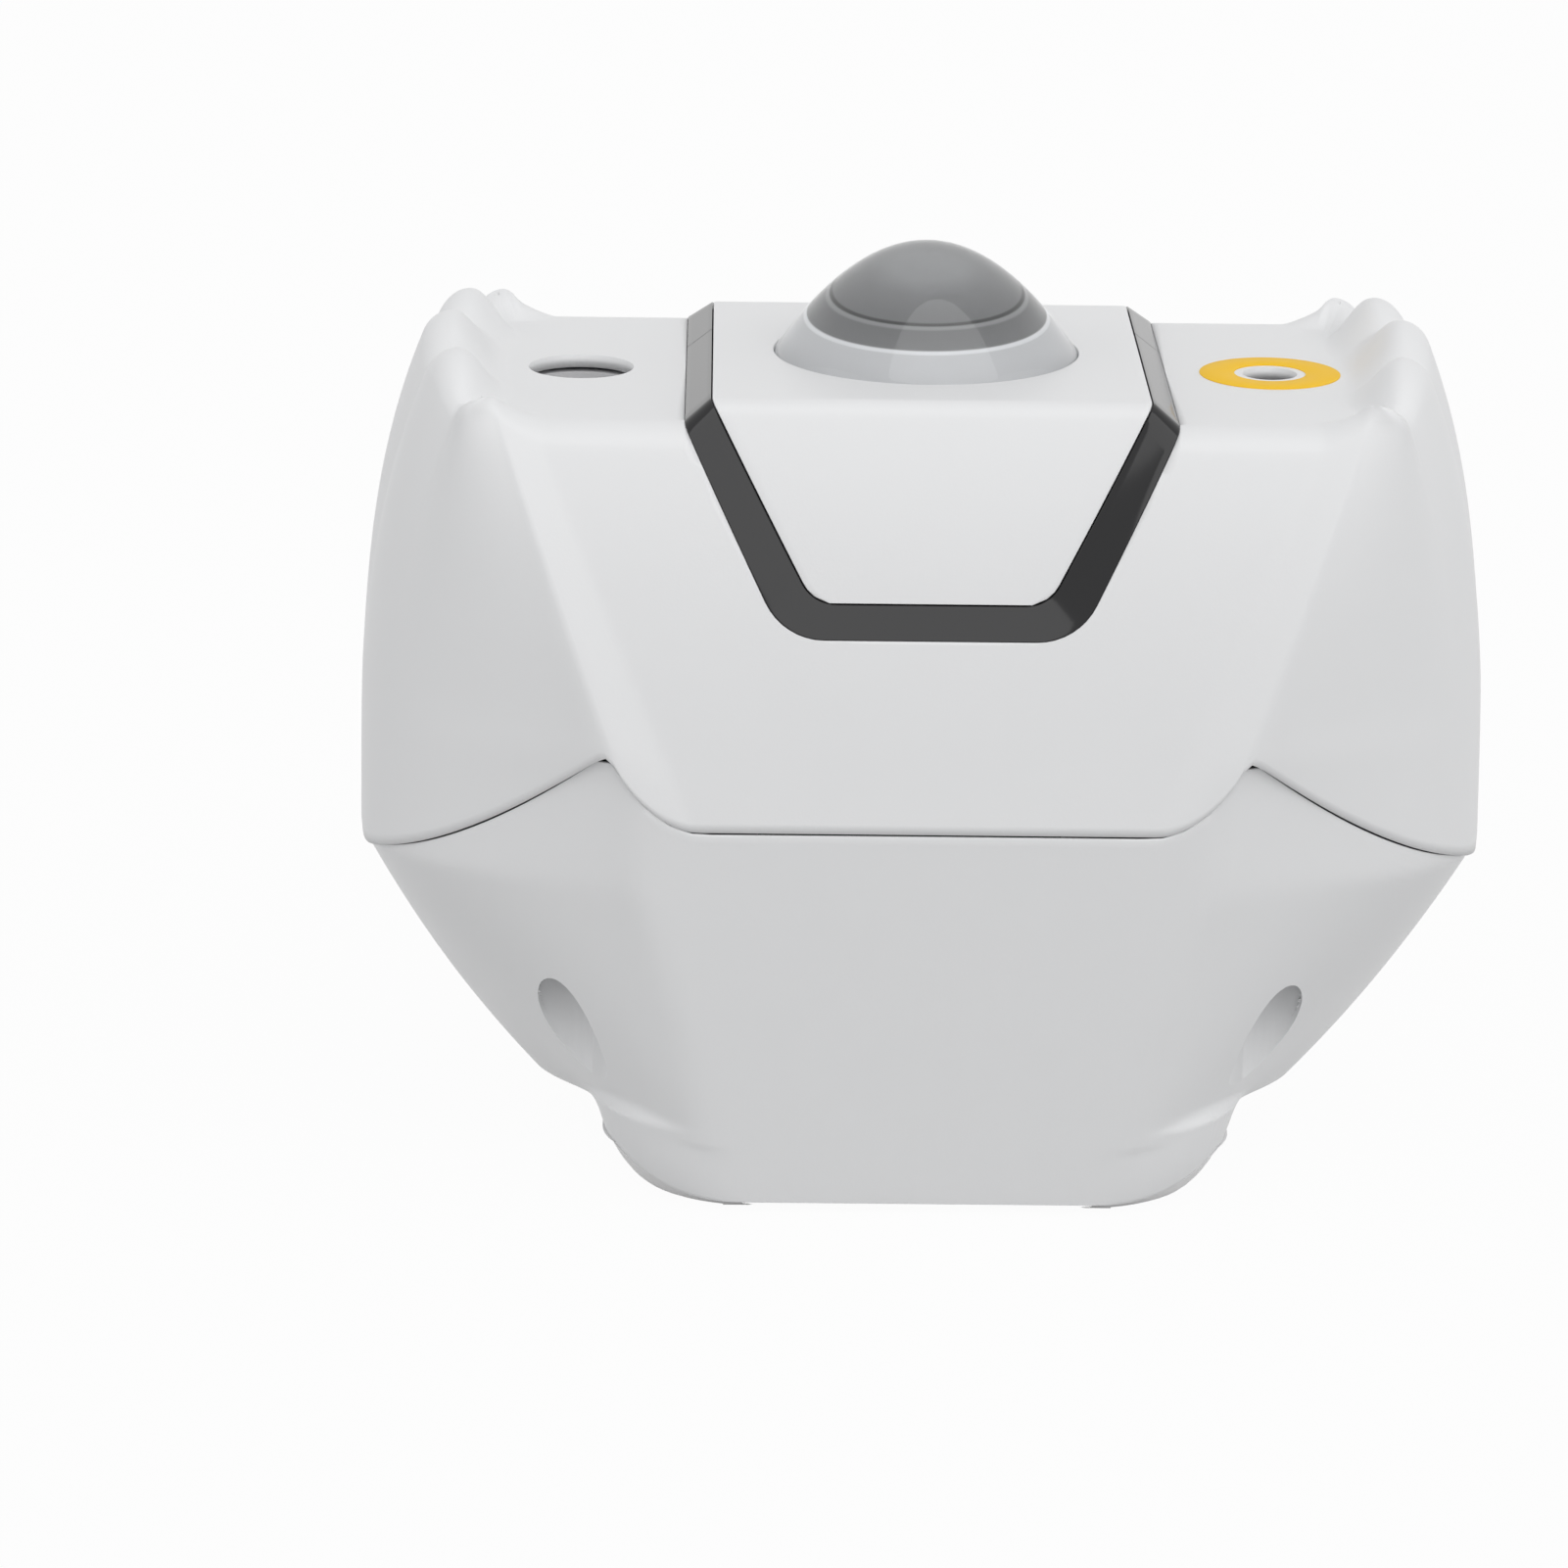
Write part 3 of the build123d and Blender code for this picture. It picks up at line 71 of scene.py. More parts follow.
# Seam between the halves: level, up to a peak, and down to the side
SEAM_LEVEL_HALF = 41.0
PEAK_RUN = 16.5
PEAK_RISE = 13.3
PEAK_ROUND = 2.0
SEAM_END = 65.2
SEAM_SLOPE = 0.311
SEAM_SLACK = 0.006

# Band and wing: pairs are a value at the band's low end and its gain up to the deck
BAND_START = 66.0
BAND_LOW = 92.0
BAND_RISE = (2.6, -1.7)
BAND_FOOT = (48.0, 24.0)
BAND_EDGE = (57.5, 20.6)
BAND_CREST = 3.1
BAND_CREST_POWER = 1.3
BAND_RADIUS_LOSS = 2.0
CORNER_WIDTH_SHARE = (0.945, -0.052)
CORNER_DEPTH = (33.0, 7.5)

# Lobes of the wing: from the band to the corner, to the crease, and over the middle of the side
CREASE = 1.65
LOBE_START = 97.0
LOBE_POWER = 1.2
LOBE_LIMIT = 1.1
LOBE_BULGES = (3.2, 2.0, 2.4)
LOBE_SOFT = 0.01
SIDE_PULL = 2.4

# Fins over the lobes, at knots along the wing
VALLEY_KNOTS = (0, 1, CREASE, 2)
VALLEY_HEIGHTS = (154.2, 153.0, 156.2, 156.6)
FIN_ARCHES = (2.0, 5.9, 5.3)
FIN_LEAD_POWER = 0.75
FIN_RADIUS_KNOTS = (0, 0.3, 1, 1.33, CREASE, 2)
FIN_RADII = (5.0, 4.5, 5.0, 8.2, 7.0, 7.0)
FIN_KNOTS = (0, 0.3, 0.6, 0.85, 1.0, 1.15, 1.33, 1.5, CREASE, 1.8, 2.0)
RIDGE_X = (77.8, 80.3, 82.3, 83.3, 83.8, 85.0, 86.3, 86.9, 87.5, 88.3, 88.6)
RIDGE_Y = (-43.5, -46.0, -45.6, -42.3, -38.6, -33.5, -27.0, -20.0, -14.5, -8.0, 0.0)
FOOT_X = (76.5, 77.8, 78.3, 78.2, 77.8, 77.2, 76.5, 76.4, 76.8, 77.8, 78.3)
FOOT_Y = (-37.3, -36.8, -35.3, -33.5, -32.0, -29.5, -26.0, -20.0, -14.0, -7.0, 0.0)
BAND_FOOT_PULL = 1.3
DECK_LINE_HALF = 45
DECK_LINE_GAIN = 22
ABOVE_ALL = 190.0

# Black trim: the edges in front view, upright above the top, then slanting to a rounded lower corner
TrimEdge = namedtuple("TrimEdge", "top_half top low_half low radius")
INNER = TrimEdge(top_half=40.0, top=RAISED, low_half=21.3, low=120.0, radius=7.0)
OUTER = TrimEdge(top_half=44.9, top=DECK, low_half=26.7, low=113.9, radius=12.0)
TRIM_FOLD_SHARE = 0.8
TRIM_JOINT = 16.5
TRIM_JOINT_GAP = 0.3
TRIM_END = 1.0

# Bowl: pairs are a value at the widest height and its gain down to the bowl's foot
BOWL_FLAT = (52.8, -13.8)
BOWL_CORNER_WIDTH_SHARE = (0.942, -0.095)
BOWL_CORNER_DEPTH_SHARE = (0.54, -0.108)
BOWL_FADE_HEIGHT = 14.0
BOWL_FADE = 2.5
BOWL_TOP = 95
LIP_HEIGHT = 0.4
FRONT_BEARING = 0.65
BEARING_RUN = 0.25

# Pedestal and runners
PEDESTAL_TOP = 24.0
KINK = 16.5
KINK_HALF = 61.4
KINK_JOIN = 3.0
PEDESTAL_LINE_DRAW = 5.5
PEDESTAL_CURVE_DRAW = 3.6
NECK_DRAW = 9.0
NECK_HEIGHT = 5.5
PEDESTAL_RADIUS = 21.0
PEDESTAL_RADIUS_GAIN = 7.0
SKID_INNER = 36.0
SKID_CURVE = 0.0155
SKID_RUN = 21.0
SKID_START = 36.4
SKID_MIDDLE = 37.5
SKID_DEPTH = 43.0
SKID_RADIUS = 20.0
SKID_INSET = 0.15
SKID_TOP_GAP = 0.05
SKID_LID = 2.2
SKID_SOLE_SHARE = 0.9

# Lens: a bulb with a hollow under it
LENS_TOP = 175.55
LENS_RADIUS = 28.3
LENS_CURVE = 0.0258
LENS_EASE = 0.2
LENS_FOOT = 150.65
LENS_HOLE = 28.6
FLANGE_RADIUS = 30.9
HOLLOW_RADIUS = 25.6
HOLLOW_RISE = 16.5

# Holes, keys, inlet and wells
APERTURE = 64.5
MOON_HOLE = 9.85
LASER_HOLE = 5.15
LABEL_INNER = 6.7
LABEL_OUTER = 13.2
KEY_X = 18.0
KEY_HEIGHT = 40.0
KEY_HOLE = 4.8
INLET_HALF = 5.1
INLET_RADIUS = 2.5
WELL_X = 64.8
WELL_Y = 37.8
WELL_RADIUS = 6.5
WELL_ROOF = 48.5

# Limits that keep a cut to one side of the case
DECK_ONLY = 150
BELOW_ONLY = 60
BACK_ONLY = 20
NO_LIMIT = 1e9

# Axes that a cut goes along
FRONT_TO_BACK = 1
UPRIGHT = 2

# Working values for the surfaces
TINY = 1e-9
TOUCH = 1e-7
HALF_STEP = 0.5
MERGE = 0.002
SLIVER = 0.0005
SMOOTH = 40.0
TRIM_SMOOTH = 30.0
LENS_SMOOTH = 30.0
LABEL_SMOOTH = 60.0
MIRROR_X = np.array([-1.0, 1.0, 1.0])
MIRROR_Y = np.array([1.0, -1.0, 1.0])


# Curves of the walls
def panel_depth(z):
    """Half depth of the front panel: a line share and a cube share of the rise to the deck."""
    t = (z - SEAM) / (DECK - SEAM)
    return SEAM_DEPTH - (SEAM_DEPTH - DECK_DEPTH) * (PANEL_LINE_SHARE * t + (1 - PANEL_LINE_SHARE) * t**3)


def lower_depth(z):
    """Half depth of the lower case: a parabola from the base to the seam."""
    t = (z - BASE) / (SEAM - BASE)
    rise = (1 + LOWER_BULGE_SHARE) * t - LOWER_BULGE_SHARE * t**2
    return BASE_DEPTH + (SEAM_DEPTH - BASE_DEPTH) * rise


def side_width(z):
    """Half width: plumb at the widest height, a power curve above it, a line and a square below it."""
    up = np.clip(z - SIDE_HEIGHT, 0, None) / (DECK - SIDE_HEIGHT)
    down = np.clip(SIDE_HEIGHT - z, 0, None) / (SIDE_HEIGHT - BOWL_FOOT)
    return SIDE - SIDE_DRAW * up**SIDE_POWER - BOWL_LINE_DRAW * down - BOWL_CURVE_DRAW * down**2


def seam_height(x):
    """Height of the seam: level, a parabola up to the rounded peak, a slack parabola to the side."""
    x = np.abs(x)
    inner = SEAM + PEAK_RISE * (np.clip(x - SEAM_LEVEL_HALF, 0, None) / PEAK_RUN) ** 2
    reach = np.clip(SIDE - x, 0, None)
    outer = SEAM_END + SEAM_SLOPE * reach + SEAM_SLACK * reach**2
    return 0.5 * (inner + outer - np.sqrt((inner - outer) ** 2 + PEAK_ROUND))


def grown(pair, share):
    """A start value and a share of its gain."""
    return pair[0] + pair[1] * share


def hermite(start, end, leave, arrive, t):
    """Cubic from start to end that leaves and arrives along two given directions."""
    h = t**2 * (3 - 2 * t)
    return start + (end - start) * h + leave * t * (1 - t) ** 2 - arrive * t**2 * (1 - t)


def unit(v):
    """Vectors divided by their lengths."""
    return v / np.linalg.norm(v, axis=-1, keepdims=True)


def plan(x, y):
    """Two coordinates side by side as points."""
    return np.stack(np.broadcast_arrays(x, y), axis=-1)


def wing_curve(start, corner, side, s, soft=0.0):
    """Smooth plan curve from the front edge (s = 0) by the corner (1) to the middle of the side (2)."""
    along = unit(unit(corner - start) + unit(side - corner))
    first = np.linalg.norm(corner - start, axis=-1, keepdims=True)
    second = np.linalg.norm(side - corner, axis=-1, keepdims=True)
    t = np.clip(s, 0, 1)[..., None]
    u = np.clip(s - 1, 0, 1)[..., None]
    leave = (corner - start) * (1 - soft) + np.array([LEVEL_LEAVE, 0.0]) * first * soft
    front = hermite(start, corner, leave, along * first, t)
    reach = along * second
    room = 3 * (side - corner)[..., :1] / np.maximum(reach[..., :1], TINY)
    flank = hermite(corner, side, reach * np.clip(room, 0, 1), np.array([0.0, 1.0]) * second, u)
    return np.where(s[..., None] <= 1, front, flank)


def by_lobe(s, first, second, third):
    """One of three values, by the lobe that a place along the wing lies in."""
    return np.where(s < 1, first, np.where(s < CREASE, second, third))


def lobe_share(s):
    """Soft arches between the creases: the root of a squared sine, rounded a little at its feet."""
    first = np.clip(s, 0, 1)
    second = np.clip((s - 1) / (CREASE - 1), 0, 1)
    third = np.clip((s - CREASE) / (2 * (2 - CREASE)), 0, 1)
    turn = by_lobe(s, first, second, third)
    return np.sqrt(np.sin(np.pi * turn) ** 2 + LOBE_SOFT) - np.sqrt(LOBE_SOFT)


def upper_plan(z, front, band, s):
    """Plan of the upper case: flat panel up to the band's foot, the rising band, then the lobed wing."""
    share = (z - BAND_LOW) / (DECK - BAND_LOW)
    start = BAND_RISE[0] * np.clip((z - BAND_START) / (BAND_LOW - BAND_START), 0, 1)
    rise = np.where(z > BAND_LOW, grown(BAND_RISE, share), start)
    foot = plan(grown(BAND_FOOT, share), -panel_depth(z))
    edge = plan(grown(BAND_EDGE, share), -panel_depth(z) - rise)
    fade = np.clip((z - LOBE_START) / (DECK - LOBE_START), 0, LOBE_LIMIT) ** LOBE_POWER
    side = plan(side_width(z) - SIDE_PULL * fade, 0.0)
    corner = plan(side_width(z) * grown(CORNER_WIDTH_SHARE, share), -grown(CORNER_DEPTH, share))
    wing = wing_curve(edge, corner, side, s)
    out = np.where(s[..., None] < 1, corner - edge, side - corner)
    out = unit(np.stack([out[..., 1], -out[..., 0]], axis=-1))
    out = np.where(s[..., None] < CREASE, out, np.array([1.0, 0.0]))
    height = by_lobe(s, *LOBE_BULGES) * fade * lobe_share(s)
    wing = wing + out * height[..., None]
    body = foot * plan(front, np.ones_like(front))
    body = body + (edge - foot) * band[..., None]
    return np.where(s[..., None] > 0, wing, body)


def settled(height, step):
    """Height that a curve gives back when each answer is put in again."""
    for _ in range(12):
        height = step(height)
    return height


def soften(points, rounds):
    """Each point but the ends moved to the weighted mean of itself and its two neighbours, in rounds."""
    for _ in range(rounds):
        points[..., 1:-1, :] = (points[..., :-2, :] + 2 * points[..., 1:-1, :] + points[..., 2:, :]) / 4


# Meshes
def mirrored(quarter):
    """The front right quarter carried round: its mirror at the back, and both again at the left."""
    back = quarter[:, ::-1] * MIRROR_Y
    right = np.concatenate([quarter, back[:, 1:]], axis=1)
    left = right[:, ::-1] * MIRROR_X
    return np.concatenate([right, left[:, 1:-1]], axis=1)


def surface(name, points, ring=False, smooth=SMOOTH):
    """Mesh object from a grid of points in millimetres; ring joins the last column to the first."""
    rows, cols = points.shape[:2]
    at = np.arange(rows * cols).reshape(rows, cols)
    if ring:
        at = np.concatenate([at, at[:, :1]], axis=1)
    quads = np.stack([at[:-1, :-1], at[:-1, 1:], at[1:, 1:], at[1:, :-1]], axis=-1).reshape(-1, 4)
    mesh = bpy.data.meshes.new(name)
    mesh.from_pydata((points.reshape(-1, 3) * MM).tolist(), [], quads.tolist())
    return dressed(name, mesh, smooth)


def face_out(work):
    """Faces turned one way, and all of them round again where that way looks inwards on the whole."""
    bmesh.ops.recalc_face_normals(work, faces=work.faces)
    spots = np.array([f.calc_center_median() for f in work.faces])
    ways = np.array([f.normal * f.calc_area() for f in work.faces])
    if ((spots - spots.mean(0)) * ways).sum() < 0:
        bmesh.ops.reverse_faces(work, faces=work.faces)


def dressed(name, mesh, smooth):
    """Doubles merged, faces turned outwards, and edges sharper than an angle kept sharp."""
    work = bmesh.new()
    work.from_mesh(mesh)
    bmesh.ops.remove_doubles(work, verts=work.verts, dist=MERGE * MM)
    bmesh.ops.dissolve_degenerate(work, edges=work.edges, dist=SLIVER * MM)
    face_out(work)
    work.to_mesh(mesh)
    work.free()
    mesh.shade_smooth()
    mesh.set_sharp_from_angle(angle=np.radians(smooth))
    piece = bpy.data.objects.new(name, mesh)
    bpy.context.scene.collection.objects.link(piece)
    return piece


def cut_out(piece, outline, axis, low=-NO_LIMIT, high=NO_LIMIT, roof=None, rear=-NO_LIMIT):
    """Cuts a convex outline straight through along an axis, and can draw the cut edge up to a roof."""
    flat = (0, 2) if axis == FRONT_TO_BACK else (0, 1)
    work = bmesh.new()
    work.from_mesh(piece.data)
    corner = np.array(outline) * MM
    margin = 4 * MM
    lo = corner.min(0) - margin
    hi = corner.max(0) + margin

    def near(face):
        c = face.calc_center_median()
        inside = lo[0] < c[flat[0]] < hi[0] and lo[1] < c[flat[1]] < hi[1]
        return inside and low * MM < c[2] < high * MM and c[1] > rear * MM

    faces = [f for f in work.faces if near(f)]
    verts = {v for f in faces for v in f.verts}
    edges = {e for f in faces for e in f.edges}
    part = list(verts) + list(edges) + faces
    centre = corner.mean(0)
    planes = []
    for a, b in zip(corner, np.roll(corner, -1, axis=0)):
        way = np.array([b[1] - a[1], a[0] - b[0]])
        way = way / np.linalg.norm(way)
        if np.dot(way, a - centre) < 0:
            way = -way
        spot = Vector((0, 0, 0))
        normal = Vector((0, 0, 0))
        for k in (0, 1):
            spot[flat[k]] = a[k]
            normal[flat[k]] = way[k]
        planes.append((spot, normal))
        done = bmesh.ops.bisect_plane(work, geom=part, dist=TOUCH, plane_co=spot, plane_no=normal)
        part = done["geom"]
    doomed = []
    for face in (f for f in part if isinstance(f, bmesh.types.BMFace)):
        c = face.calc_center_median()
        if all((c - p).dot(n) < 0 for p, n in planes):
            doomed.append(face)
    rim = {e for f in doomed for e in f.edges}
    bmesh.ops.delete(work, geom=doomed, context="FACES")
    if roof is not None:
        rim = [e for e in rim if e.is_valid and len(e.link_faces) == 1]
        drawn = bmesh.ops.extrude_edge_only(work, edges=rim)["geom"]
        for v in (g for g in drawn if isinstance(g, bmesh.types.BMVert)):
            v.co.z = roof * MM
        lid = [g for g in drawn if isinstance(g, bmesh.types.BMEdge) and len(g.link_faces) == 1]
        bmesh.ops.edgenet_fill(work, edges=lid)
        face_out(work)
    work.to_mesh(piece.data)
    work.free()
    piece.data.set_sharp_from_angle(angle=np.radians(SMOOTH))


def circle(x, y, radius, steps=48):
    """Points round a circle at even angles."""
    turn = np.arange(steps) * 2 * np.pi / steps
    return plan(x + radius * np.cos(turn), y + radius * np.sin(turn))


def thicken(piece, wall):
    """Wall of an even thickness behind a surface's face."""
    shell = piece.modifiers.new("wall", "SOLIDIFY")
    shell.thickness = wall * MM
    shell.offset = -1.0
    shell.use_even_offset = False
    return piece


# Edges and fold of the raised centre
def corner_arc(edge):
    """Arc of a trim edge's lower corner: its centre, where it starts, and the angle that it turns."""
    slant = np.array([edge.low_half - edge.top_half, edge.low - edge.top])
    slant = slant / np.linalg.norm(slant)
    turn = np.arccos(-slant[0])
    reach = edge.radius * np.tan(turn / 2)
    start = np.array([edge.low_half, edge.low]) - slant * reach
    return np.array([edge.low_half - reach, edge.low + edge.radius]), start, turn


def corner_points(edge, steps):
    """Points round a trim edge's lower corner, from the slant line to the level bottom."""
    centre, _, turn = corner_arc(edge)
    bend = np.linspace(np.pi / 2 - turn, np.pi / 2, steps)
    return plan(centre[0] + edge.radius * np.cos(bend), centre[1] - edge.radius * np.sin(bend))


def edge_half(edge, z):
    """Half width of a trim edge in front view: upright above its top, a slant line, then the corner."""
    centre, start, _ = corner_arc(edge)
    fall = np.clip(edge.top - z, 0, None)
    line = edge.top_half + (edge.low_half - edge.top_half) * fall / (edge.top - edge.low)
    arc = centre[0] + np.sqrt(np.clip(edge.radius**2 - (z - centre[1]) ** 2, 0, None))
    return np.where(z < start[1], arc, line)


def fold(level, inset, radius, turn):
    """Arc from the leaning front to the level top that meets both: depth, height and angle along it."""
    guess = level - radius * 0.62
    lean = np.arctan(panel_depth(guess - HALF_STEP) - panel_depth(guess + HALF_STEP))
    foot = level - radius * (1 - np.sin(lean))
    middle = panel_depth(foot) - inset - radius * np.cos(lean)
    angle = lean + (np.pi / 2 - lean) * turn
    return middle + radius * np.cos(angle), level - radius + radius * np.sin(angle), angle


# Upper case
def upper_columns():
    """Columns of the upper case: shares of the flat panel, shares of the band, places along the wing."""
    panel = np.concatenate([np.linspace(0, 0.9, 16), np.linspace(0.93, 1, 6)])
    rise = np.linspace(0, 1, 10)[1:]
    lobes = [np.linspace(0, 1, 37), np.linspace(1, CREASE, 27), np.linspace(CREASE, 2, 19)]
    wing = np.concatenate([lobe[1:] for lobe in lobes])
    front = np.concatenate([panel, np.ones(rise.size + wing.size)])
    band = np.concatenate([np.zeros(panel.size), rise, np.ones(wing.size)])
    return front, band, np.concatenate([np.zeros(panel.size + rise.size), wing])


def crest_line(band, s):
    """Height of the crest and the radius over it: the band's rise, then an arch over each lobe."""
    valley = np.interp(s, VALLEY_KNOTS, VALLEY_HEIGHTS)
    lead = FIN_ARCHES[0] * np.sin(np.pi * np.clip(s, 0, 1) ** FIN_LEAD_POWER)
    arch = np.where(s < 1, lead, 0.0)
    arch = np.where(s > 1, np.where(s < CREASE, FIN_ARCHES[1], FIN_ARCHES[2]) * lobe_share(s), arch)
    crest = np.where(s > 0, valley + arch, DECK + BAND_CREST * band**BAND_CREST_POWER)
    radius = np.interp(s, FIN_RADIUS_KNOTS, FIN_RADII)
    return crest, np.where(s > 0, radius, DECK_RADIUS - BAND_RADIUS_LOSS * band)


def upper_case():
    """Rows climb the wall from the seam, round over the crest, run down the fins and cross the deck."""
    front, band, s = upper_columns()
    on_wing = s[:, None] > 0
    crest, radius = crest_line(band, s)

    below = upper_plan(crest - radius - HALF_STEP, front, band, s)
    above = upper_plan(crest - radius + HALF_STEP, front, band, s)
    lean = np.arctan(np.linalg.norm(above - below, axis=-1))
    top = crest - radius * (1 - np.sin(lean))
    low = settled(np.full_like(s, SEAM + 1.5), lambda z: seam_height(upper_plan(z, front, band, s)[:, 0]))
    z = low + (top - low) * np.linspace(0, 1, 40)[:, None]
    wall = upper_plan(z, *np.broadcast_arrays(front, band, s, z)[:3])
    soften(wall, 3)
    head = wall[-1]

    ridge = plan(np.interp(s, FIN_KNOTS, RIDGE_X), np.interp(s, FIN_KNOTS, RIDGE_Y))
    ridge = np.where(on_wing, ridge, plan(head[:, 0], head[:, 1] + radius * np.cos(lean)))
    foot = plan(np.interp(s, FIN_KNOTS, FOOT_X), np.interp(s, FIN_KNOTS, FOOT_Y))
    foot = np.where(on_wing, foot, plan(head[:, 0] - BAND_FOOT_PULL * band, FOOT_Y[0]))
    soften(ridge, 6)
    soften(foot, 6)

    turn = np.linspace(0, 1, 12)[1:, None]
    angle = lean + (np.pi / 2 - lean) * turn
    over = head + (ridge - head) * ((np.cos(lean) - np.cos(angle)) / np.cos(lean))[..., None]
    over_z = top + (crest - top) * (np.sin(angle) - np.sin(lean)) / (1 - np.sin(lean))
    run = np.linspace(0, 1, 14)[1:, None]
    slope = ridge + (foot - ridge) * run[..., None]
    slope_z = DECK + (crest - DECK) * 0.5 * (1 + np.cos(np.pi * run))
    wing_end = DECK_LINE_HALF + DECK_LINE_GAIN * s / 2
    target = plan(np.where(s > 0, wing_end, np.clip(head[:, 0], 0, DECK_LINE_HALF)), 0.0)
    across = slope[-1] + (target - slope[-1]) * np.linspace(0, 1, 9)[1:, None, None]
    across_z = np.full(across.shape[:2], DECK)

    flat = np.concatenate([wall, over, slope, across])
    tall = np.concatenate([z, over_z, slope_z, across_z])
    piece = surface("upper_case", mirrored(np.dstack([flat, tall])), ring=True)
    upright = [[OUTER.top_half, ABOVE_ALL], [OUTER.top_half, DECK]]
    right = np.concatenate([upright, corner_points(OUTER, 9)])
    outline = np.concatenate([right, right[::-1] * np.array([-1.0, 1.0])])
    cut_out(piece, outline, FRONT_TO_BACK)
    cut_out(piece, circle(-APERTURE, 0, MOON_HOLE), UPRIGHT, low=DECK_ONLY)
    cut_out(piece, circle(APERTURE, 0, LASER_HOLE), UPRIGHT, low=DECK_ONLY)
    return thicken(piece, UPPER_WALL)


# Raised centre
def centre_panel():
    """One strip from the front's foot over the fold and the deck to the back's foot, edges turned in."""
    depth, height, angle = fold(RAISED, RECESS, RAISED_RADIUS, np.linspace(0, 1, 9))
    z = np.linspace(INNER.low + GAP, height[0], 28)[:-1]
    deck = -depth[-1] * np.linspace(1, 0, 10)[1:]
    y = np.concatenate([-(panel_depth(z) - RECESS), -depth, deck])
    tall = np.concatenate([z, height, np.full(deck.size, RAISED)])
    tilt = np.concatenate([np.full(z.size, angle[0]), angle, np.full(deck.size, np.pi / 2)])
    y = np.concatenate([y, -y[-2::-1]])
    tall = np.concatenate([tall, tall[-2::-1]])
    in_y = np.concatenate([np.cos(tilt), -np.cos(tilt)[-2::-1]])
    in_z = np.concatenate([-np.sin(tilt), -np.sin(tilt)[-2::-1]])

    half = edge_half(INNER, tall) - GAP
    level = np.zeros(40)
    ease, shoulder, last = 0.08, 0.3, 0.985
    side = np.ones(3)
    share = np.concatenate([-side, np.linspace(-last, last, level.size), side])
    drop = np.concatenate([[PANEL_WALL, shoulder, ease], level, [ease, shoulder, PANEL_WALL]])
    pull = np.concatenate([[0, 0, ease], level, [ease, 0, 0]])
    x = half[:, None] * share - np.sign(share) * pull
    points = np.dstack([x, y[:, None] + drop * in_y[:, None], tall[:, None] + drop * in_z[:, None]])
    inwards = np.stack([np.zeros(2), in_y[[0, -1]], in_z[[0, -1]]], axis=-1)
    lip = points[[0, -1]] + inwards[:, None] * PANEL_WALL
    piece = surface("centre_panel", np.concatenate([lip[:1], points, lip[1:]]))
    cut_out(piece, circle(0, 0, LENS_HOLE, 96), UPRIGHT, low=DECK_ONLY)
    return thicken(piece, PANEL_WALL)


# Black trim
def trim_path(edge, level, inset, radius, joint):
    """One edge of the trim's right half: deck, fold, slant, corner and lower bar, with its tilt."""
    depth, height, angle = fold(level, inset, radius, np.linspace(1, 0, 10))
    centre, start, _ = corner_arc(edge)
    arc = corner_points(edge, 11)
    bar = np.linspace(centre[0], 0, 9)[1:]
    lying = np.linspace(joint, -depth[0], 14)[:-1]
    slant = np.linspace(height[-1], start[1], 26)[1:-1]
    upper = np.concatenate([np.full(lying.size, level), height, slant])
    z = np.concatenate([upper, arc[:, 1], np.full(bar.size, edge.low)])
    x = np.concatenate([edge_half(edge, upper), arc[:, 0], bar])
    leaning = z[lying.size + depth.size :]
    y = np.concatenate([lying, -depth, -(panel_depth(leaning) - inset)])
    tilt = np.concatenate([np.full(lying.size, np.pi / 2), angle, np.full(leaning.size, angle[-1])])
    return np.stack([x, y, z], axis=-1), tilt


def trim_half(name, side, joint):
    """Strip ruled between the raised inner edge and the outer edge, with eased sides, and its mirror."""
    inner, tilt = trim_path(INNER, RAISED, RECESS, RAISED_RADIUS, joint)
    outer, _ = trim_path(OUTER, DECK, 0.0, DECK_RADIUS * TRIM_FOLD_SHARE, joint)
    width = np.linalg.norm(outer - inner, axis=-1)[:, None]
    share = np.array([0, 0, 0, 0, 0, 0.2, 0.4, 0.6, 0.8, 1, 1, 1, 1, 1])
    step = np.array([0, 0, 0.05, 0.14, 0.3, 0, 0, 0, 0, -0.3, -0.14, -0.05, 0, 0])
    drop = np.array([1.4, 0.3, 0.12, 0.03, 0, 0, 0, 0, 0, 0, 0.03, 0.12, 0.3, 1.4])
    share = share + step / width + (0.5 - share) * GAP / width
    points = inner[:, None] + (outer - inner)[:, None] * share[..., None]
    inwards = np.stack([np.zeros_like(tilt), np.cos(tilt), -np.sin(tilt)], axis=-1)
    points = points + inwards[:, None] * drop[:, None]
    end = points[:1] + np.array([0, 0, -TRIM_END])
    points = np.concatenate([end, points])
    other = points[::-1] * MIRROR_X
    points = np.concatenate([points, other[1:]]) * np.array([1.0, side, 1.0])
    return surface(name, points, smooth=TRIM_SMOOTH)


# Lower case
def skid_edge(x):
    """Lower edge of the pedestal in front view: level in the middle, a parabola up over each runner."""
    return BASE + SKID_CURVE * np.clip(np.abs(x) - SKID_INNER, 0, SKID_RUN) ** 2


def foot_width(z):
    """Half width of the pedestal: a line and a fourth power under the kink, drawn in quickly above it."""
    t = np.clip((KINK - z) / KINK, 0, 1)
    neck = NECK_DRAW * np.clip((z - KINK) / NECK_HEIGHT, 0, 1)
    return KINK_HALF - PEDESTAL_LINE_DRAW * t - PEDESTAL_CURVE_DRAW * t**4 - neck


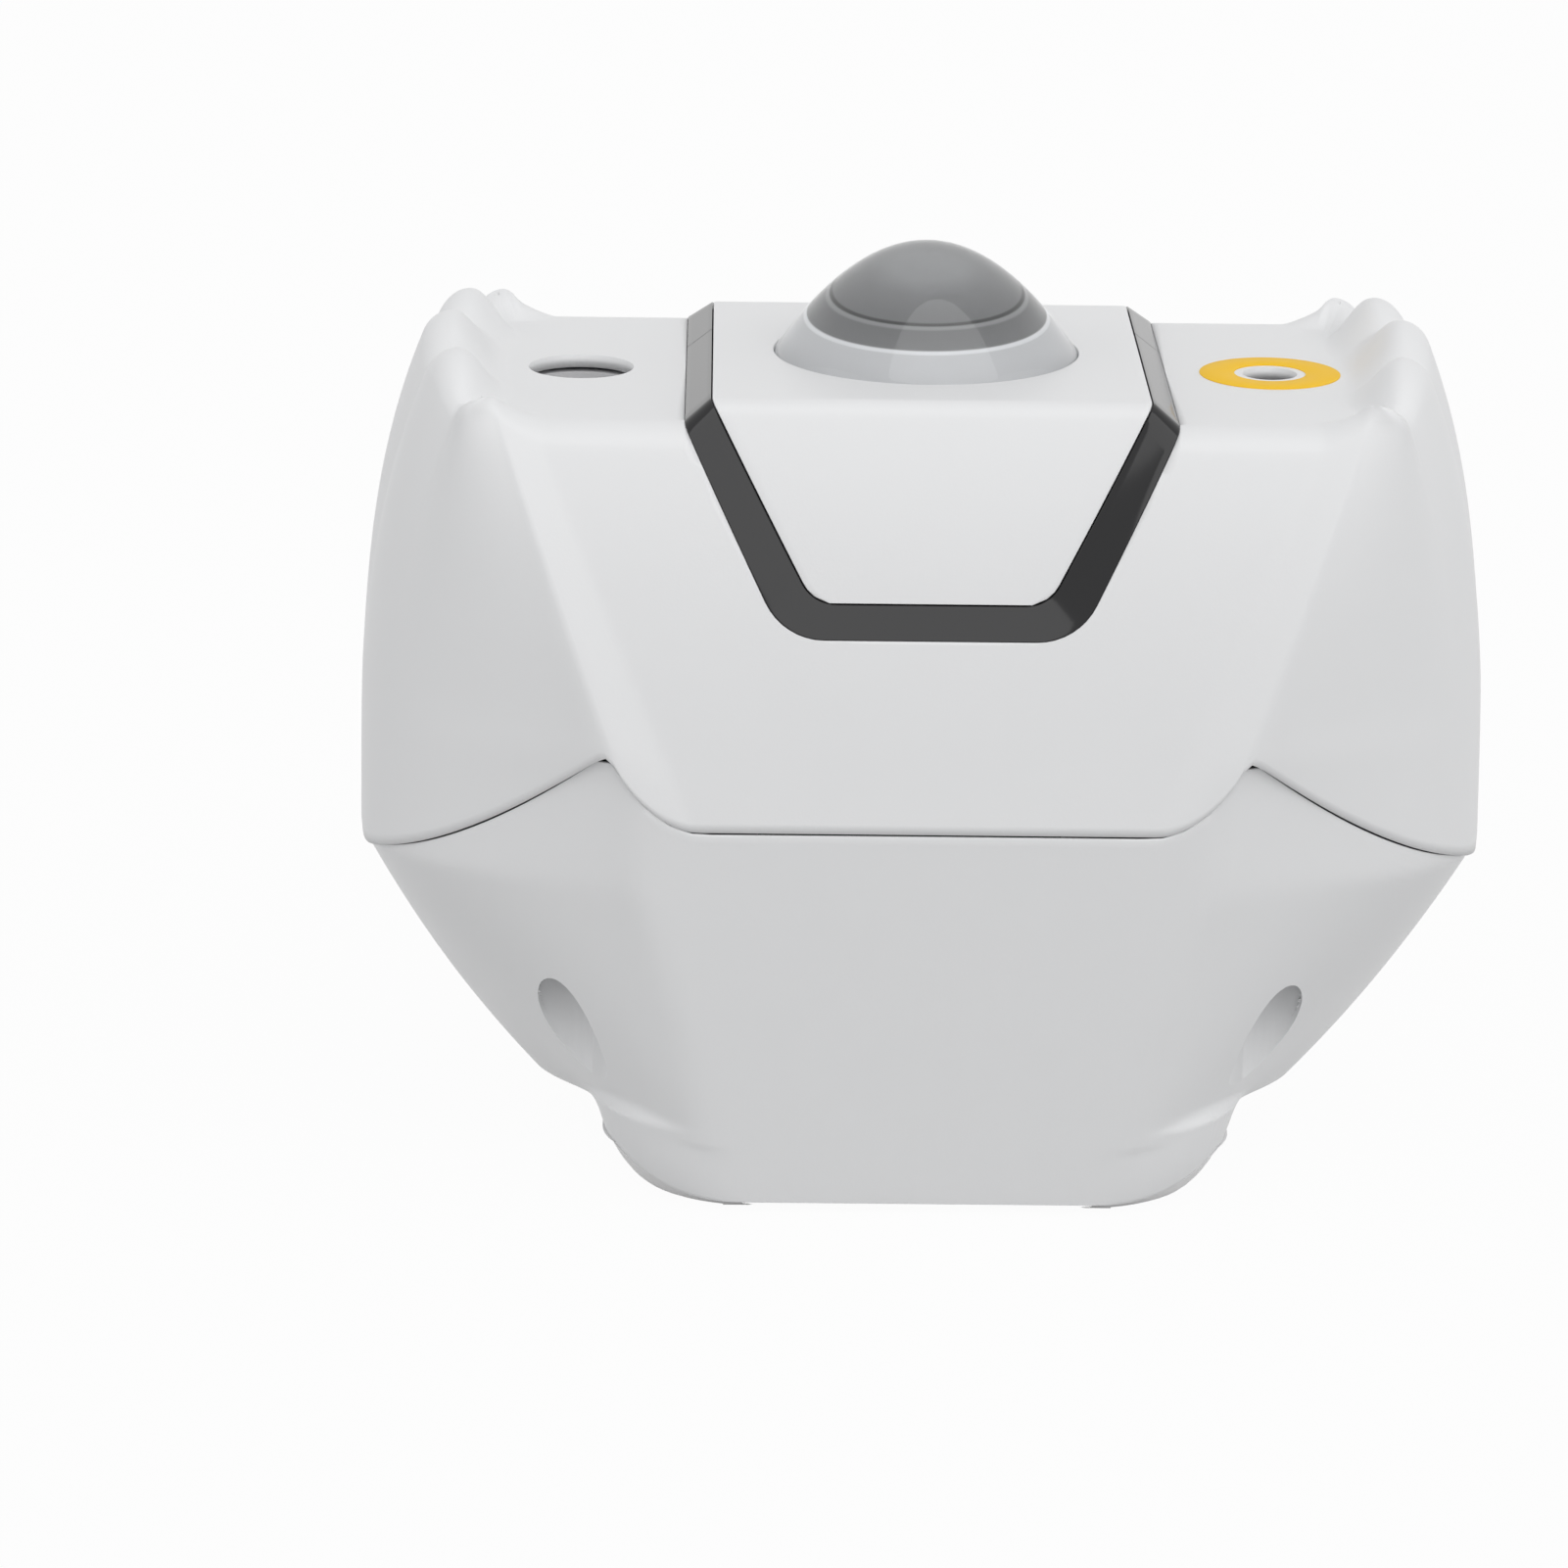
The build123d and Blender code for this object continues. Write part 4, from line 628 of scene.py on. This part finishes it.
def bowl_reach(level, ray):
    """Length of rays from the axis to the bowl's plan: flat front, smooth corner, middle of the side."""
    half, depth = side_width(level), lower_depth(level)
    drop = np.clip((SIDE_HEIGHT - level) / (SIDE_HEIGHT - BOWL_FOOT), 0, None)
    flat = grown(BOWL_FLAT, drop)
    front = np.array([flat, -depth])
    corner_x = half * grown(BOWL_CORNER_WIDTH_SHARE, drop)
    corner = np.array([corner_x, -depth * grown(BOWL_CORNER_DEPTH_SHARE, drop)])
    curve = wing_curve(front, corner, np.array([half, 0.0]), np.linspace(0, 2, 90), drop)
    curve = np.concatenate([plan(flat * np.linspace(0, 0.98, 30), -depth), curve])
    bearing = np.arctan2(ray[:, 0], -ray[:, 1])
    return np.interp(bearing, np.arctan2(curve[:, 0], -curve[:, 1]), np.linalg.norm(curve, axis=-1))


def pedestal_reach(level, ray):
    """Length of rays from the axis to the pedestal's plan: a rectangle with rounded corners."""
    foot, depth = foot_width(level), lower_depth(level)
    box = np.minimum(foot / np.clip(ray[:, 0], TINY, None), depth / np.clip(-ray[:, 1], TINY, None))
    bend = PEDESTAL_RADIUS + PEDESTAL_RADIUS_GAIN * np.clip(level / KINK, 0, 1)
    hub = np.array([foot - bend, -(depth - bend)])
    near = ray @ hub
    rounded = near + np.sqrt(np.clip(near**2 - hub @ hub + bend**2, 0, None))
    hit = ray * box[:, None]
    at_corner = (hit[:, 0] > hub[0]) & (hit[:, 1] < hub[1])
    return np.where(at_corner, rounded, box)


def lower_reach(level, ray):
    """The larger of the bowl and the pedestal, with a soft join away from the front."""
    bowl = bowl_reach(level, ray)
    beside = np.clip((np.arctan2(ray[:, 0], -ray[:, 1]) - FRONT_BEARING) / BEARING_RUN, 0, 1)
    bowl = bowl - BOWL_FADE * max(BOWL_FADE_HEIGHT - level, 0.0) * beside
    stand = pedestal_reach(level, ray)
    soft = KINK_JOIN * beside + 1e-6
    join = np.clip(soft - np.abs(bowl - stand), 0, None) ** 2 / (4 * soft)
    return np.maximum(bowl, stand) + join if level < PEDESTAL_TOP else bowl


def lower_case():
    """Rows of rays from the axis: a rounded lip at the seam, the bowl, the pedestal and its underside."""
    aim = np.concatenate([np.linspace(0, 0.55, 30), np.linspace(0.57, 1, 34)]) * np.pi / 2
    ray = unit(plan(SIDE * np.sin(aim), -SEAM_DEPTH * np.cos(aim)))
    cols = np.arange(aim.size)
    bowl_levels = np.linspace(BOWL_TOP, PEDESTAL_TOP, 60)
    levels = np.concatenate([bowl_levels, np.linspace(PEDESTAL_TOP, BASE, 45)[1:]])
    reaches = np.array([lower_reach(level, ray) for level in levels])

    def at(z):
        rows = np.interp(z, levels[::-1], np.arange(levels.size)[::-1])
        low = np.clip(rows.astype(int), 0, levels.size - 2)
        part = rows - low
        return reaches[low, cols] * (1 - part) + reaches[low + 1, cols] * part

    top = settled(np.full(aim.size, SEAM - 0.5), lambda z: seam_height(ray[:, 0] * at(z)) - SEAM_GAP)
    edge = settled(np.full(aim.size, BASE + 2.0), lambda z: skid_edge(ray[:, 0] * at(z)))
    upper = top + (PEDESTAL_TOP - top) * np.linspace(0, 1, 30)[:, None]
    lower = PEDESTAL_TOP + (edge - PEDESTAL_TOP) * np.linspace(0, 1, 34)[1:, None]
    z = np.concatenate([upper, lower])
    out = np.stack([at(row) for row in z])

    lip_drop = np.array([0.0, 0.03, 0.14])[:, None]
    lip_pull = np.array([0.55, 0.22, 0.06])[:, None]
    lip = ray * (out[:1] - lip_pull)[..., None]
    z[0] = top - LIP_HEIGHT
    flat = np.concatenate([lip, ray * out[..., None]])
    z = np.concatenate([top - lip_drop, z])
    under = flat[-1] * np.array([0.993, 0.98, 0.94, 0.6, 0.25, 0.0])[:, None, None]
    under_drop = np.array([0.2, 0.25, 0.25, 0.25, 0.25, 0.25])[:, None]
    under_z = skid_edge(under[..., 0]) - under_drop
    points = np.dstack([np.concatenate([flat, under]), np.concatenate([z, under_z])])
    piece = surface("lower_case", mirrored(points), ring=True)

    for x in (-WELL_X, WELL_X):
        for y in (-WELL_Y, WELL_Y):
            cut_out(piece, circle(x, y, WELL_RADIUS, 40), UPRIGHT, high=BELOW_ONLY, roof=WELL_ROOF)
    for x in (-KEY_X, KEY_X):
        cut_out(piece, circle(x, KEY_HEIGHT, KEY_HOLE, 40), FRONT_TO_BACK, rear=BACK_ONLY)
    slot = circle(0.0, 0.0, INLET_RADIUS, 32)
    slot = slot + np.where(slot[:, :1] > 0, 1, -1) * np.array([INLET_HALF - INLET_RADIUS, 0.0])
    cut_out(piece, slot + np.array([0.0, KEY_HEIGHT]), FRONT_TO_BACK, rear=BACK_ONLY)
    return thicken(piece, LOWER_WALL)


def skid(name, side):
    """Runner under one sloping edge: rounded plans of the pedestal, drawn in near the floor."""
    turn = np.linspace(0, np.pi / 2, 14)
    z = np.array([11.0, 9.0, 7.0, 5.0, 3.5, 2.2, 1.2, 0.5, 0.12, 0.0])[:, None]
    shrink = np.array([0, 0, 0, 0, 0, 0, 0.05, 0.2, 0.6, 1.3])[:, None]
    half = foot_width(z) - SKID_INSET - shrink
    start = np.broadcast_to(SKID_START, z.shape)
    x = np.concatenate([start, half - SKID_RADIUS + SKID_RADIUS * np.sin(turn)], axis=1)
    hub = SKID_DEPTH - SKID_RADIUS - shrink
    y = np.concatenate([SKID_DEPTH - shrink, hub + SKID_RADIUS * np.cos(turn)], axis=1)
    front = np.dstack([x, -y, np.minimum(z, skid_edge(x) - SKID_TOP_GAP)])
    whole = np.concatenate([front, front[:, ::-1] * MIRROR_Y], axis=1)
    shares = np.array([0.35, 0.7, 1.0])[:, None, None]
    ends = whole[-1:, :, 1]
    middle = np.dstack([np.full(ends.shape, SKID_MIDDLE), ends * SKID_SOLE_SHARE, np.zeros(ends.shape)])
    lid = whole[:1] + (middle + np.array([0, 0, SKID_LID]) - whole[:1]) * shares[::-1]
    sole = whole[-1:] + (middle - whole[-1:]) * shares
    points = np.concatenate([lid, whole, sole]) * np.array([side, 1.0, 1.0])
    return surface(name, points, ring=True)


# Round pieces
def turned(name, profile, place=(0.0, 0.0), steps=96, smooth=SMOOTH):
    """Profile of radius and height pairs carried round an upright axis."""
    profile = np.array(profile)
    turn = np.arange(steps) * 2 * np.pi / steps
    x = place[0] + profile[:, :1] * np.cos(turn)
    y = place[1] + profile[:, :1] * np.sin(turn)
    points = np.dstack([x, y, np.broadcast_to(profile[:, 1:], x.shape)])
    return surface(name, points, ring=True, smooth=smooth)


def lens_piece():
    """Thick bulb: a parabola of revolution on a short collar with a thin flange, and a hollow under it."""
    r = np.linspace(0, LENS_RADIUS - LENS_EASE, 40)
    dome = np.stack([r, LENS_TOP - LENS_CURVE * r**2], axis=-1)
    collar = [[28.25, 154.6], [LENS_RADIUS, 153.6], [LENS_RADIUS, 152.4]]
    flange = [[FLANGE_RADIUS, 152.35], [FLANGE_RADIUS, 150.7], [29.0, LENS_FOOT]]
    r = np.linspace(HOLLOW_RADIUS, 0, 30)
    hollow = np.stack([r, LENS_FOOT + HOLLOW_RISE * (1 - (r / HOLLOW_RADIUS) ** 2)], axis=-1)
    profile = np.concatenate([dome, collar, flange, hollow])
    piece = turned("lens_bulb", profile, steps=128, smooth=LENS_SMOOTH)

    faces = piece.data.polygons
    spots = np.empty(3 * len(faces), dtype=np.float32)
    faces.foreach_get("center", spots)
    x, y, z = spots.reshape(-1, 3).T / MM
    far = x**2 + y**2
    under_dome, past_hollow = 1.55, 0.1
    # The hollow's faces take the second finish: a dark grey core with painted reflections and highlights in
    # rings.
    inner = (z < LENS_TOP - under_dome - LENS_CURVE * far) & (far < (HOLLOW_RADIUS + past_hollow) ** 2)
    faces.foreach_set("material_index", inner.astype(np.int32))
    return piece


def label_ring():
    """Thin flat ring on the deck round the laser's hole, with its upper edges eased."""
    shoulder = DECK + 0.12
    top = DECK + 0.15
    ease = 0.06
    inner = [[LABEL_INNER, DECK], [LABEL_INNER, shoulder], [LABEL_INNER + ease, top]]
    outer = [[LABEL_OUTER - ease, top], [LABEL_OUTER, shoulder], [LABEL_OUTER, DECK]]
    return turned("label_ring", inner + outer, (APERTURE, 0.0), 72, LABEL_SMOOTH)


# Finishes, with the Mix node's sockets for colours and pairs of radius and grey for the lens's core, whose
# rings are painted reflections and highlights seen through the lens
MIX_FROM, MIX_TO, MIX_COLOUR = 6, 7, 2
CORE_COOLNESS = 1.02
CORE_REFLECTION_RINGS = [
    (0.1, 0.31),
    (5.0, 0.30),
    (9.0, 0.22),
    (14.3, 0.18),
    (14.5, 0.04),
    (14.9, 0.04),
    (15.1, 0.30),
    (15.5, 0.30),
    (15.8, 0.17),
    (18.9, 0.20),
    (19.1, 0.92),
    (19.5, 0.92),
    (19.7, 0.68),
    (25.6, 0.74),
]


class Sock:
    """A shader socket with the arithmetic that the finishes use."""

    def __init__(self, tree, socket):
        self.tree, self.socket = tree, socket

    def math(self, operation, other, swap=False):
        pair = [other, self] if swap else [self, other]
        return self.node("ShaderNodeMath", {"operation": operation}, {0: pair[0], 1: pair[1]}, "Value")

    def __add__(self, other):
        return self.math("ADD", other)

    def __sub__(self, other):
        return self.math("SUBTRACT", other)

    def __rsub__(self, other):
        return self.math("SUBTRACT", other, True)

    def __mul__(self, other):
        return self.math("MULTIPLY", other)

    __radd__ = __add__
    __rmul__ = __mul__

    def node(self, kind, settings, inputs, output):
        """A node of a kind, its settings first, then the values or links of its sockets."""
        made = self.tree.nodes.new(kind)
        for key, value in settings.items():
            if key == "stops":
                for place, colour in value:
                    made.color_ramp.elements.new(place).color = colour
                made.color_ramp.elements.remove(made.color_ramp.elements[0])
            else:
                setattr(made, key, value)
        for key, value in inputs.items():
            if isinstance(value, Sock):
                self.tree.links.new(value.socket, made.inputs[key])
            else:
                made.inputs[key].default_value = value
        return Sock(self.tree, made.outputs[output])

    def noise(self, size, detail):
        """Noise over the place that this socket gives, its grains of a size in millimetres."""
        inputs = {"Vector": self, "Scale": 1000 / size, "Detail": detail}
        return self.node("ShaderNodeTexNoise", {}, inputs, "Fac")


def finish(
    name,
    colour,
    rough,
    grain=0.0,
    grain_size=0.3,
    mottle=0.03,
    mottle_size=12.0,
    rough_swing=0.05,
    **fixed,
):
    """Principled finish: a slow noise mottles colour and gloss, and a fine noise gives the grain."""
    made = bpy.data.materials.new(name)
    made.use_nodes = True
    tree = made.node_tree
    shader = tree.nodes["Principled BSDF"]
    spot = Sock(tree, tree.nodes.new("ShaderNodeTexCoord").outputs["Object"])
    slow = spot.noise(mottle_size, 3.0)
    dark = [c * (1 - mottle) for c in colour] + [1.0]
    light = [min(c * (1 + mottle), 1.0) for c in colour] + [1.0]
    shades = {"Factor": slow, MIX_FROM: dark, MIX_TO: light}
    tint = spot.node("ShaderNodeMix", {"data_type": "RGBA"}, shades, MIX_COLOUR)
    tree.links.new(tint.socket, shader.inputs["Base Color"])
    gloss = rough + (slow - 0.5) * (2 * rough_swing)
    tree.links.new(gloss.socket, shader.inputs["Roughness"])
    if grain:
        relief = {"Strength": 1.0, "Distance": grain * MM, "Height": spot.noise(grain_size, 2.0)}
        bump = spot.node("ShaderNodeBump", {}, relief, "Normal")
        tree.links.new(bump.socket, shader.inputs["Normal"])
    for key, value in fixed.items():
        shader.inputs[key.replace("_", " ")].default_value = value
    return made


def painted_rings(made, reflection_rings, span=28.0):
    """Rings of grey by the distance from the upright axis, in place of a finish's own tint: painted
    reflections and highlights.
    """
    tree = made.node_tree
    spot = Sock(tree, tree.nodes["Texture Coordinate"].outputs["Object"])
    level = {0: spot, 1: (1.0, 1.0, 0.0)}
    flat = spot.node("ShaderNodeVectorMath", {"operation": "MULTIPLY"}, level, "Vector")
    far = spot.node("ShaderNodeVectorMath", {"operation": "LENGTH"}, {0: flat}, "Value")
    stops = [(radius / span, (grey, grey, grey * CORE_COOLNESS, 1.0)) for radius, grey in reflection_rings]
    tint = spot.node("ShaderNodeValToRGB", {"stops": stops}, {"Fac": far * (1 / (span * MM))}, "Color")
    tree.links.new(tint.socket, tree.nodes["Principled BSDF"].inputs["Base Color"])
    return made


white_shell = finish("white_shell", (0.80, 0.805, 0.81), 0.42, grain=0.012, grain_size=0.5, mottle=0.008)
skid_white = finish("skid_white", (0.82, 0.82, 0.82), 0.5, grain=0.01, grain_size=0.5, mottle=0.01)
black_trim = finish(
    "black_trim",
    (0.010, 0.010, 0.011),
    0.09,
    grain=0.0015,
    grain_size=6.0,
    rough_swing=0.02,
    Specular_IOR_Level=0.38,
)
clear_lens = finish(
    "clear_lens",
    (0.93, 0.95, 0.96),
    0.015,
    mottle=0.01,
    rough_swing=0.004,
    Transmission_Weight=1.0,
    IOR=1.49,
)
# Lens core: dark grey, with painted reflections and highlights as grey rings by radius.
lens_core_painted_reflections = painted_rings(finish("lens_core_painted_reflections", (0.2, 0.2, 0.2), 0.4, grain=0.02, grain_size=0.8), CORE_REFLECTION_RINGS)
clear_plate = finish(
    "clear_plate", (0.92, 0.94, 0.95), 0.06, grain=0.4, grain_size=3.0, Transmission_Weight=1.0, IOR=1.49
)
dark_window = finish("dark_window", (0.10, 0.09, 0.10), 0.1, grain=0.002, grain_size=2.0, Coat_Weight=0.4)
dark_plastic = finish("dark_plastic", (0.03, 0.03, 0.032), 0.4, grain=0.01, grain_size=0.4, mottle=0.1)
pale_plastic = finish("pale_plastic", (0.70, 0.70, 0.71), 0.45, grain=0.01, grain_size=0.4, mottle=0.04)
grey_plastic = finish("grey_plastic", (0.30, 0.31, 0.32), 0.45, grain=0.01, grain_size=0.4, mottle=0.06)
gear_plastic = finish("gear_plastic", (0.72, 0.70, 0.64), 0.38, grain=0.008, grain_size=0.5, mottle=0.04)
steel = finish("steel", (0.62, 0.62, 0.63), 0.28, grain=0.004, grain_size=0.3, mottle=0.08, Metallic=1.0)
sink_metal = finish(
    "sink_metal", (0.70, 0.71, 0.72), 0.36, grain=0.008, grain_size=0.5, mottle=0.06, Metallic=1.0
)
laser_brass = finish(
    "laser_brass", (0.72, 0.55, 0.25), 0.26, grain=0.004, grain_size=0.4, mottle=0.08, Metallic=1.0
)
circuit_board = finish(
    "circuit_board", (0.03, 0.16, 0.07), 0.4, grain=0.02, grain_size=0.9, mottle=0.2, mottle_size=3.0
)
emitter = finish(
    "emitter", (0.85, 0.80, 0.45), 0.3, grain=0.01, grain_size=0.4, mottle=0.08, mottle_size=1.5
)
component = finish(
    "component", (0.05, 0.05, 0.055), 0.45, grain=0.01, grain_size=0.4, mottle=0.15, mottle_size=3.0
)
label_yellow = finish(
    "label_yellow", (0.95, 0.57, 0.012), 0.5, grain=0.004, grain_size=0.4, Specular_IOR_Level=0.15
)
key_white = finish("key_white", (0.76, 0.77, 0.77), 0.4, grain=0.008, grain_size=0.4, mottle=0.02)

carried = {
    clear_plate: ["ripple_plate", "condenser_lens", "grating_film", "moon_lens"],
    dark_window: ["laser_window", "ir_receiver"],
    dark_plastic: ["lens_retainer", "light_tube", "moon_slide", "power_inlet"],
    pale_plastic: ["moon_barrel"],
    grey_plastic: ["chassis_plate", "gear_motor", "laser_holder"],
    gear_plastic: ["ripple_wheel", "pinion", "idler_gear", "grating_wheel"],
    steel: [
        "case_screws",
        "retainer_screws",
        "chassis_screws",
        "motor_screws",
        "board_screws",
        "motor_shaft",
        "idler_axle",
        "idler_clip",
    ],
    sink_metal: ["heat_sink"],
    laser_brass: ["laser_module"],
    circuit_board: ["led_board", "moon_board", "main_board", "rear_board"],
    emitter: ["led_emitters"],
    component: ["board_components", "key_switches"],
    key_white: ["power_button", "mode_button"],
}
for look, nodes in carried.items():
    for node in nodes:
        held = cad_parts[node].data.materials
        held.clear()
        held.append(look)


# Pieces that take the place of the part's own
def place(piece, look, slot, *nodes):
    """A piece of the case with its finish, in place of the nodes that it shows."""
    piece.data.materials.append(look)
    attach(piece, "housing")
    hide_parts(*nodes)


place(upper_case(), white_shell, "white_shell", "upper_shell")
place(centre_panel(), white_shell, "white_shell", "upper_shell")
place(lower_case(), white_shell, "white_shell", "lower_shell")
place(skid("skid_right", 1), skid_white, "white_shell", "feet")
place(skid("skid_left", -1), skid_white, "white_shell", "feet")
place(trim_half("trim_frame_front", 1, TRIM_JOINT), black_trim, "black_trim", "trim_front")
rear_joint = -TRIM_JOINT - TRIM_JOINT_GAP
place(trim_half("trim_frame_rear", -1, rear_joint), black_trim, "black_trim", "trim_rear")
bulb = lens_piece()
place(bulb, clear_lens, "clear_lens", "dome_lens")
# The bulb's second finish is the core with painted reflections and highlights.
bulb.data.materials.append(lens_core_painted_reflections)
place(label_ring(), label_yellow, "label_yellow", "laser_label")

# Camera at the photograph's place, in millimetres and radians
CAMERA = np.array([-38.7, -1178.8, 421.2])
PITCH, YAW, ROLL = 0.2896, 0.0112, -0.0133
SENSOR = 36.0
FOCAL_PIXELS = 6582
PHOTO_PIXELS = 1601
ahead = np.array([np.sin(YAW) * np.cos(PITCH), np.cos(YAW) * np.cos(PITCH), -np.sin(PITCH)])
level_right = np.array([np.cos(YAW), -np.sin(YAW), 0.0])
level_down = np.cross(ahead, level_right)
right = np.cos(ROLL) * level_right + np.sin(ROLL) * level_down
down = np.cos(ROLL) * level_down - np.sin(ROLL) * level_right
camera = bpy.data.objects.new("camera", bpy.data.cameras.new("camera"))
camera.data.sensor_width = SENSOR
camera.data.lens = SENSOR * FOCAL_PIXELS / PHOTO_PIXELS
camera.data.clip_end = 20.0
stand = np.eye(4)
stand[:3] = np.stack([right, -down, -ahead, CAMERA * MM], axis=1)
camera.matrix_world = Matrix(stand.tolist())
bpy.context.scene.collection.objects.link(camera)
bpy.context.scene.camera = camera


# Light, floor and background
LAMP_SPREAD = 70.0


def lamp(name, around, rise, strength):
    """Wide soft sun from a bearing (nought is the front, right is positive) and an elevation in degrees."""
    light = bpy.data.lights.new(name, "SUN")
    light.angle = np.radians(LAMP_SPREAD)
    light.energy = strength
    around, rise = np.radians(around), np.radians(rise)
    toward = Vector((-np.sin(around) * np.cos(rise), np.cos(around) * np.cos(rise), -np.sin(rise)))
    lit = bpy.data.objects.new(name, light)
    lit.matrix_world = toward.to_track_quat("-Z", "Y").to_matrix().to_4x4()
    bpy.context.scene.collection.objects.link(lit)


lamp("front_lamp", around=17.0, rise=50.0, strength=1.32)
lamp("left_lamp", around=-75.0, rise=4.0, strength=0.46)
lamp("right_lamp", around=75.0, rise=4.0, strength=0.43)


def shown(tree):
    """One where the camera, a mirror or glass looks, and nought where light is gathered."""
    seen = tree.nodes.new("ShaderNodeLightPath").outputs
    start = Sock(tree, seen["Is Camera Ray"])
    total = start + Sock(tree, seen["Is Glossy Ray"]) + Sock(tree, seen["Is Transmission Ray"])
    return start.node("ShaderNodeMath", {"operation": "MINIMUM"}, {0: total, 1: 1.0}, "Value")


world = bpy.data.worlds.new("studio")
bpy.context.scene.world = world
world.use_nodes = True
sky = world.node_tree
in_view = shown(sky)
SKY_LIGHT = (0.50, 0.50, 0.505, 1)
SKY_SHOWN = (1, 1, 1, 1)
skies = {"Factor": in_view, MIX_FROM: SKY_LIGHT, MIX_TO: SKY_SHOWN}
glow = in_view.node("ShaderNodeMix", {"data_type": "RGBA"}, skies, MIX_COLOUR)
sky.links.new(glow.socket, sky.nodes["Background"].inputs["Color"])

FLOOR_HALF = 4.0
FLOOR_GREY = (0.58, 0.58, 0.58, 1)
FLOOR_SHOWN = 0.96
floor_mesh = bpy.data.meshes.new("floor")
corners = [(x * FLOOR_HALF, y * FLOOR_HALF, 0) for x, y in ((-1, -1), (1, -1), (1, 1), (-1, 1))]
floor_mesh.from_pydata(corners, [], [(0, 1, 2, 3)])
floor = bpy.data.objects.new("floor", floor_mesh)
bpy.context.scene.collection.objects.link(floor)
pale = bpy.data.materials.new("pale_floor")
pale.use_nodes = True
ground = pale.node_tree
matte = ground.nodes["Principled BSDF"]
matte.inputs["Base Color"].default_value = FLOOR_GREY
matte.inputs["Roughness"].default_value = 0.9
matte.inputs["Specular IOR Level"].default_value = 0.0
bright = ground.nodes.new("ShaderNodeEmission")
blend = ground.nodes.new("ShaderNodeMixShader")
share_shown = shown(ground) * FLOOR_SHOWN
ground.links.new(share_shown.socket, blend.inputs[0])
ground.links.new(matte.outputs[0], blend.inputs[1])
ground.links.new(bright.outputs[0], blend.inputs[2])
ground.links.new(blend.outputs[0], ground.nodes["Material Output"].inputs["Surface"])
floor_mesh.materials.append(pale)

bpy.context.scene.view_settings.view_transform = "Standard"
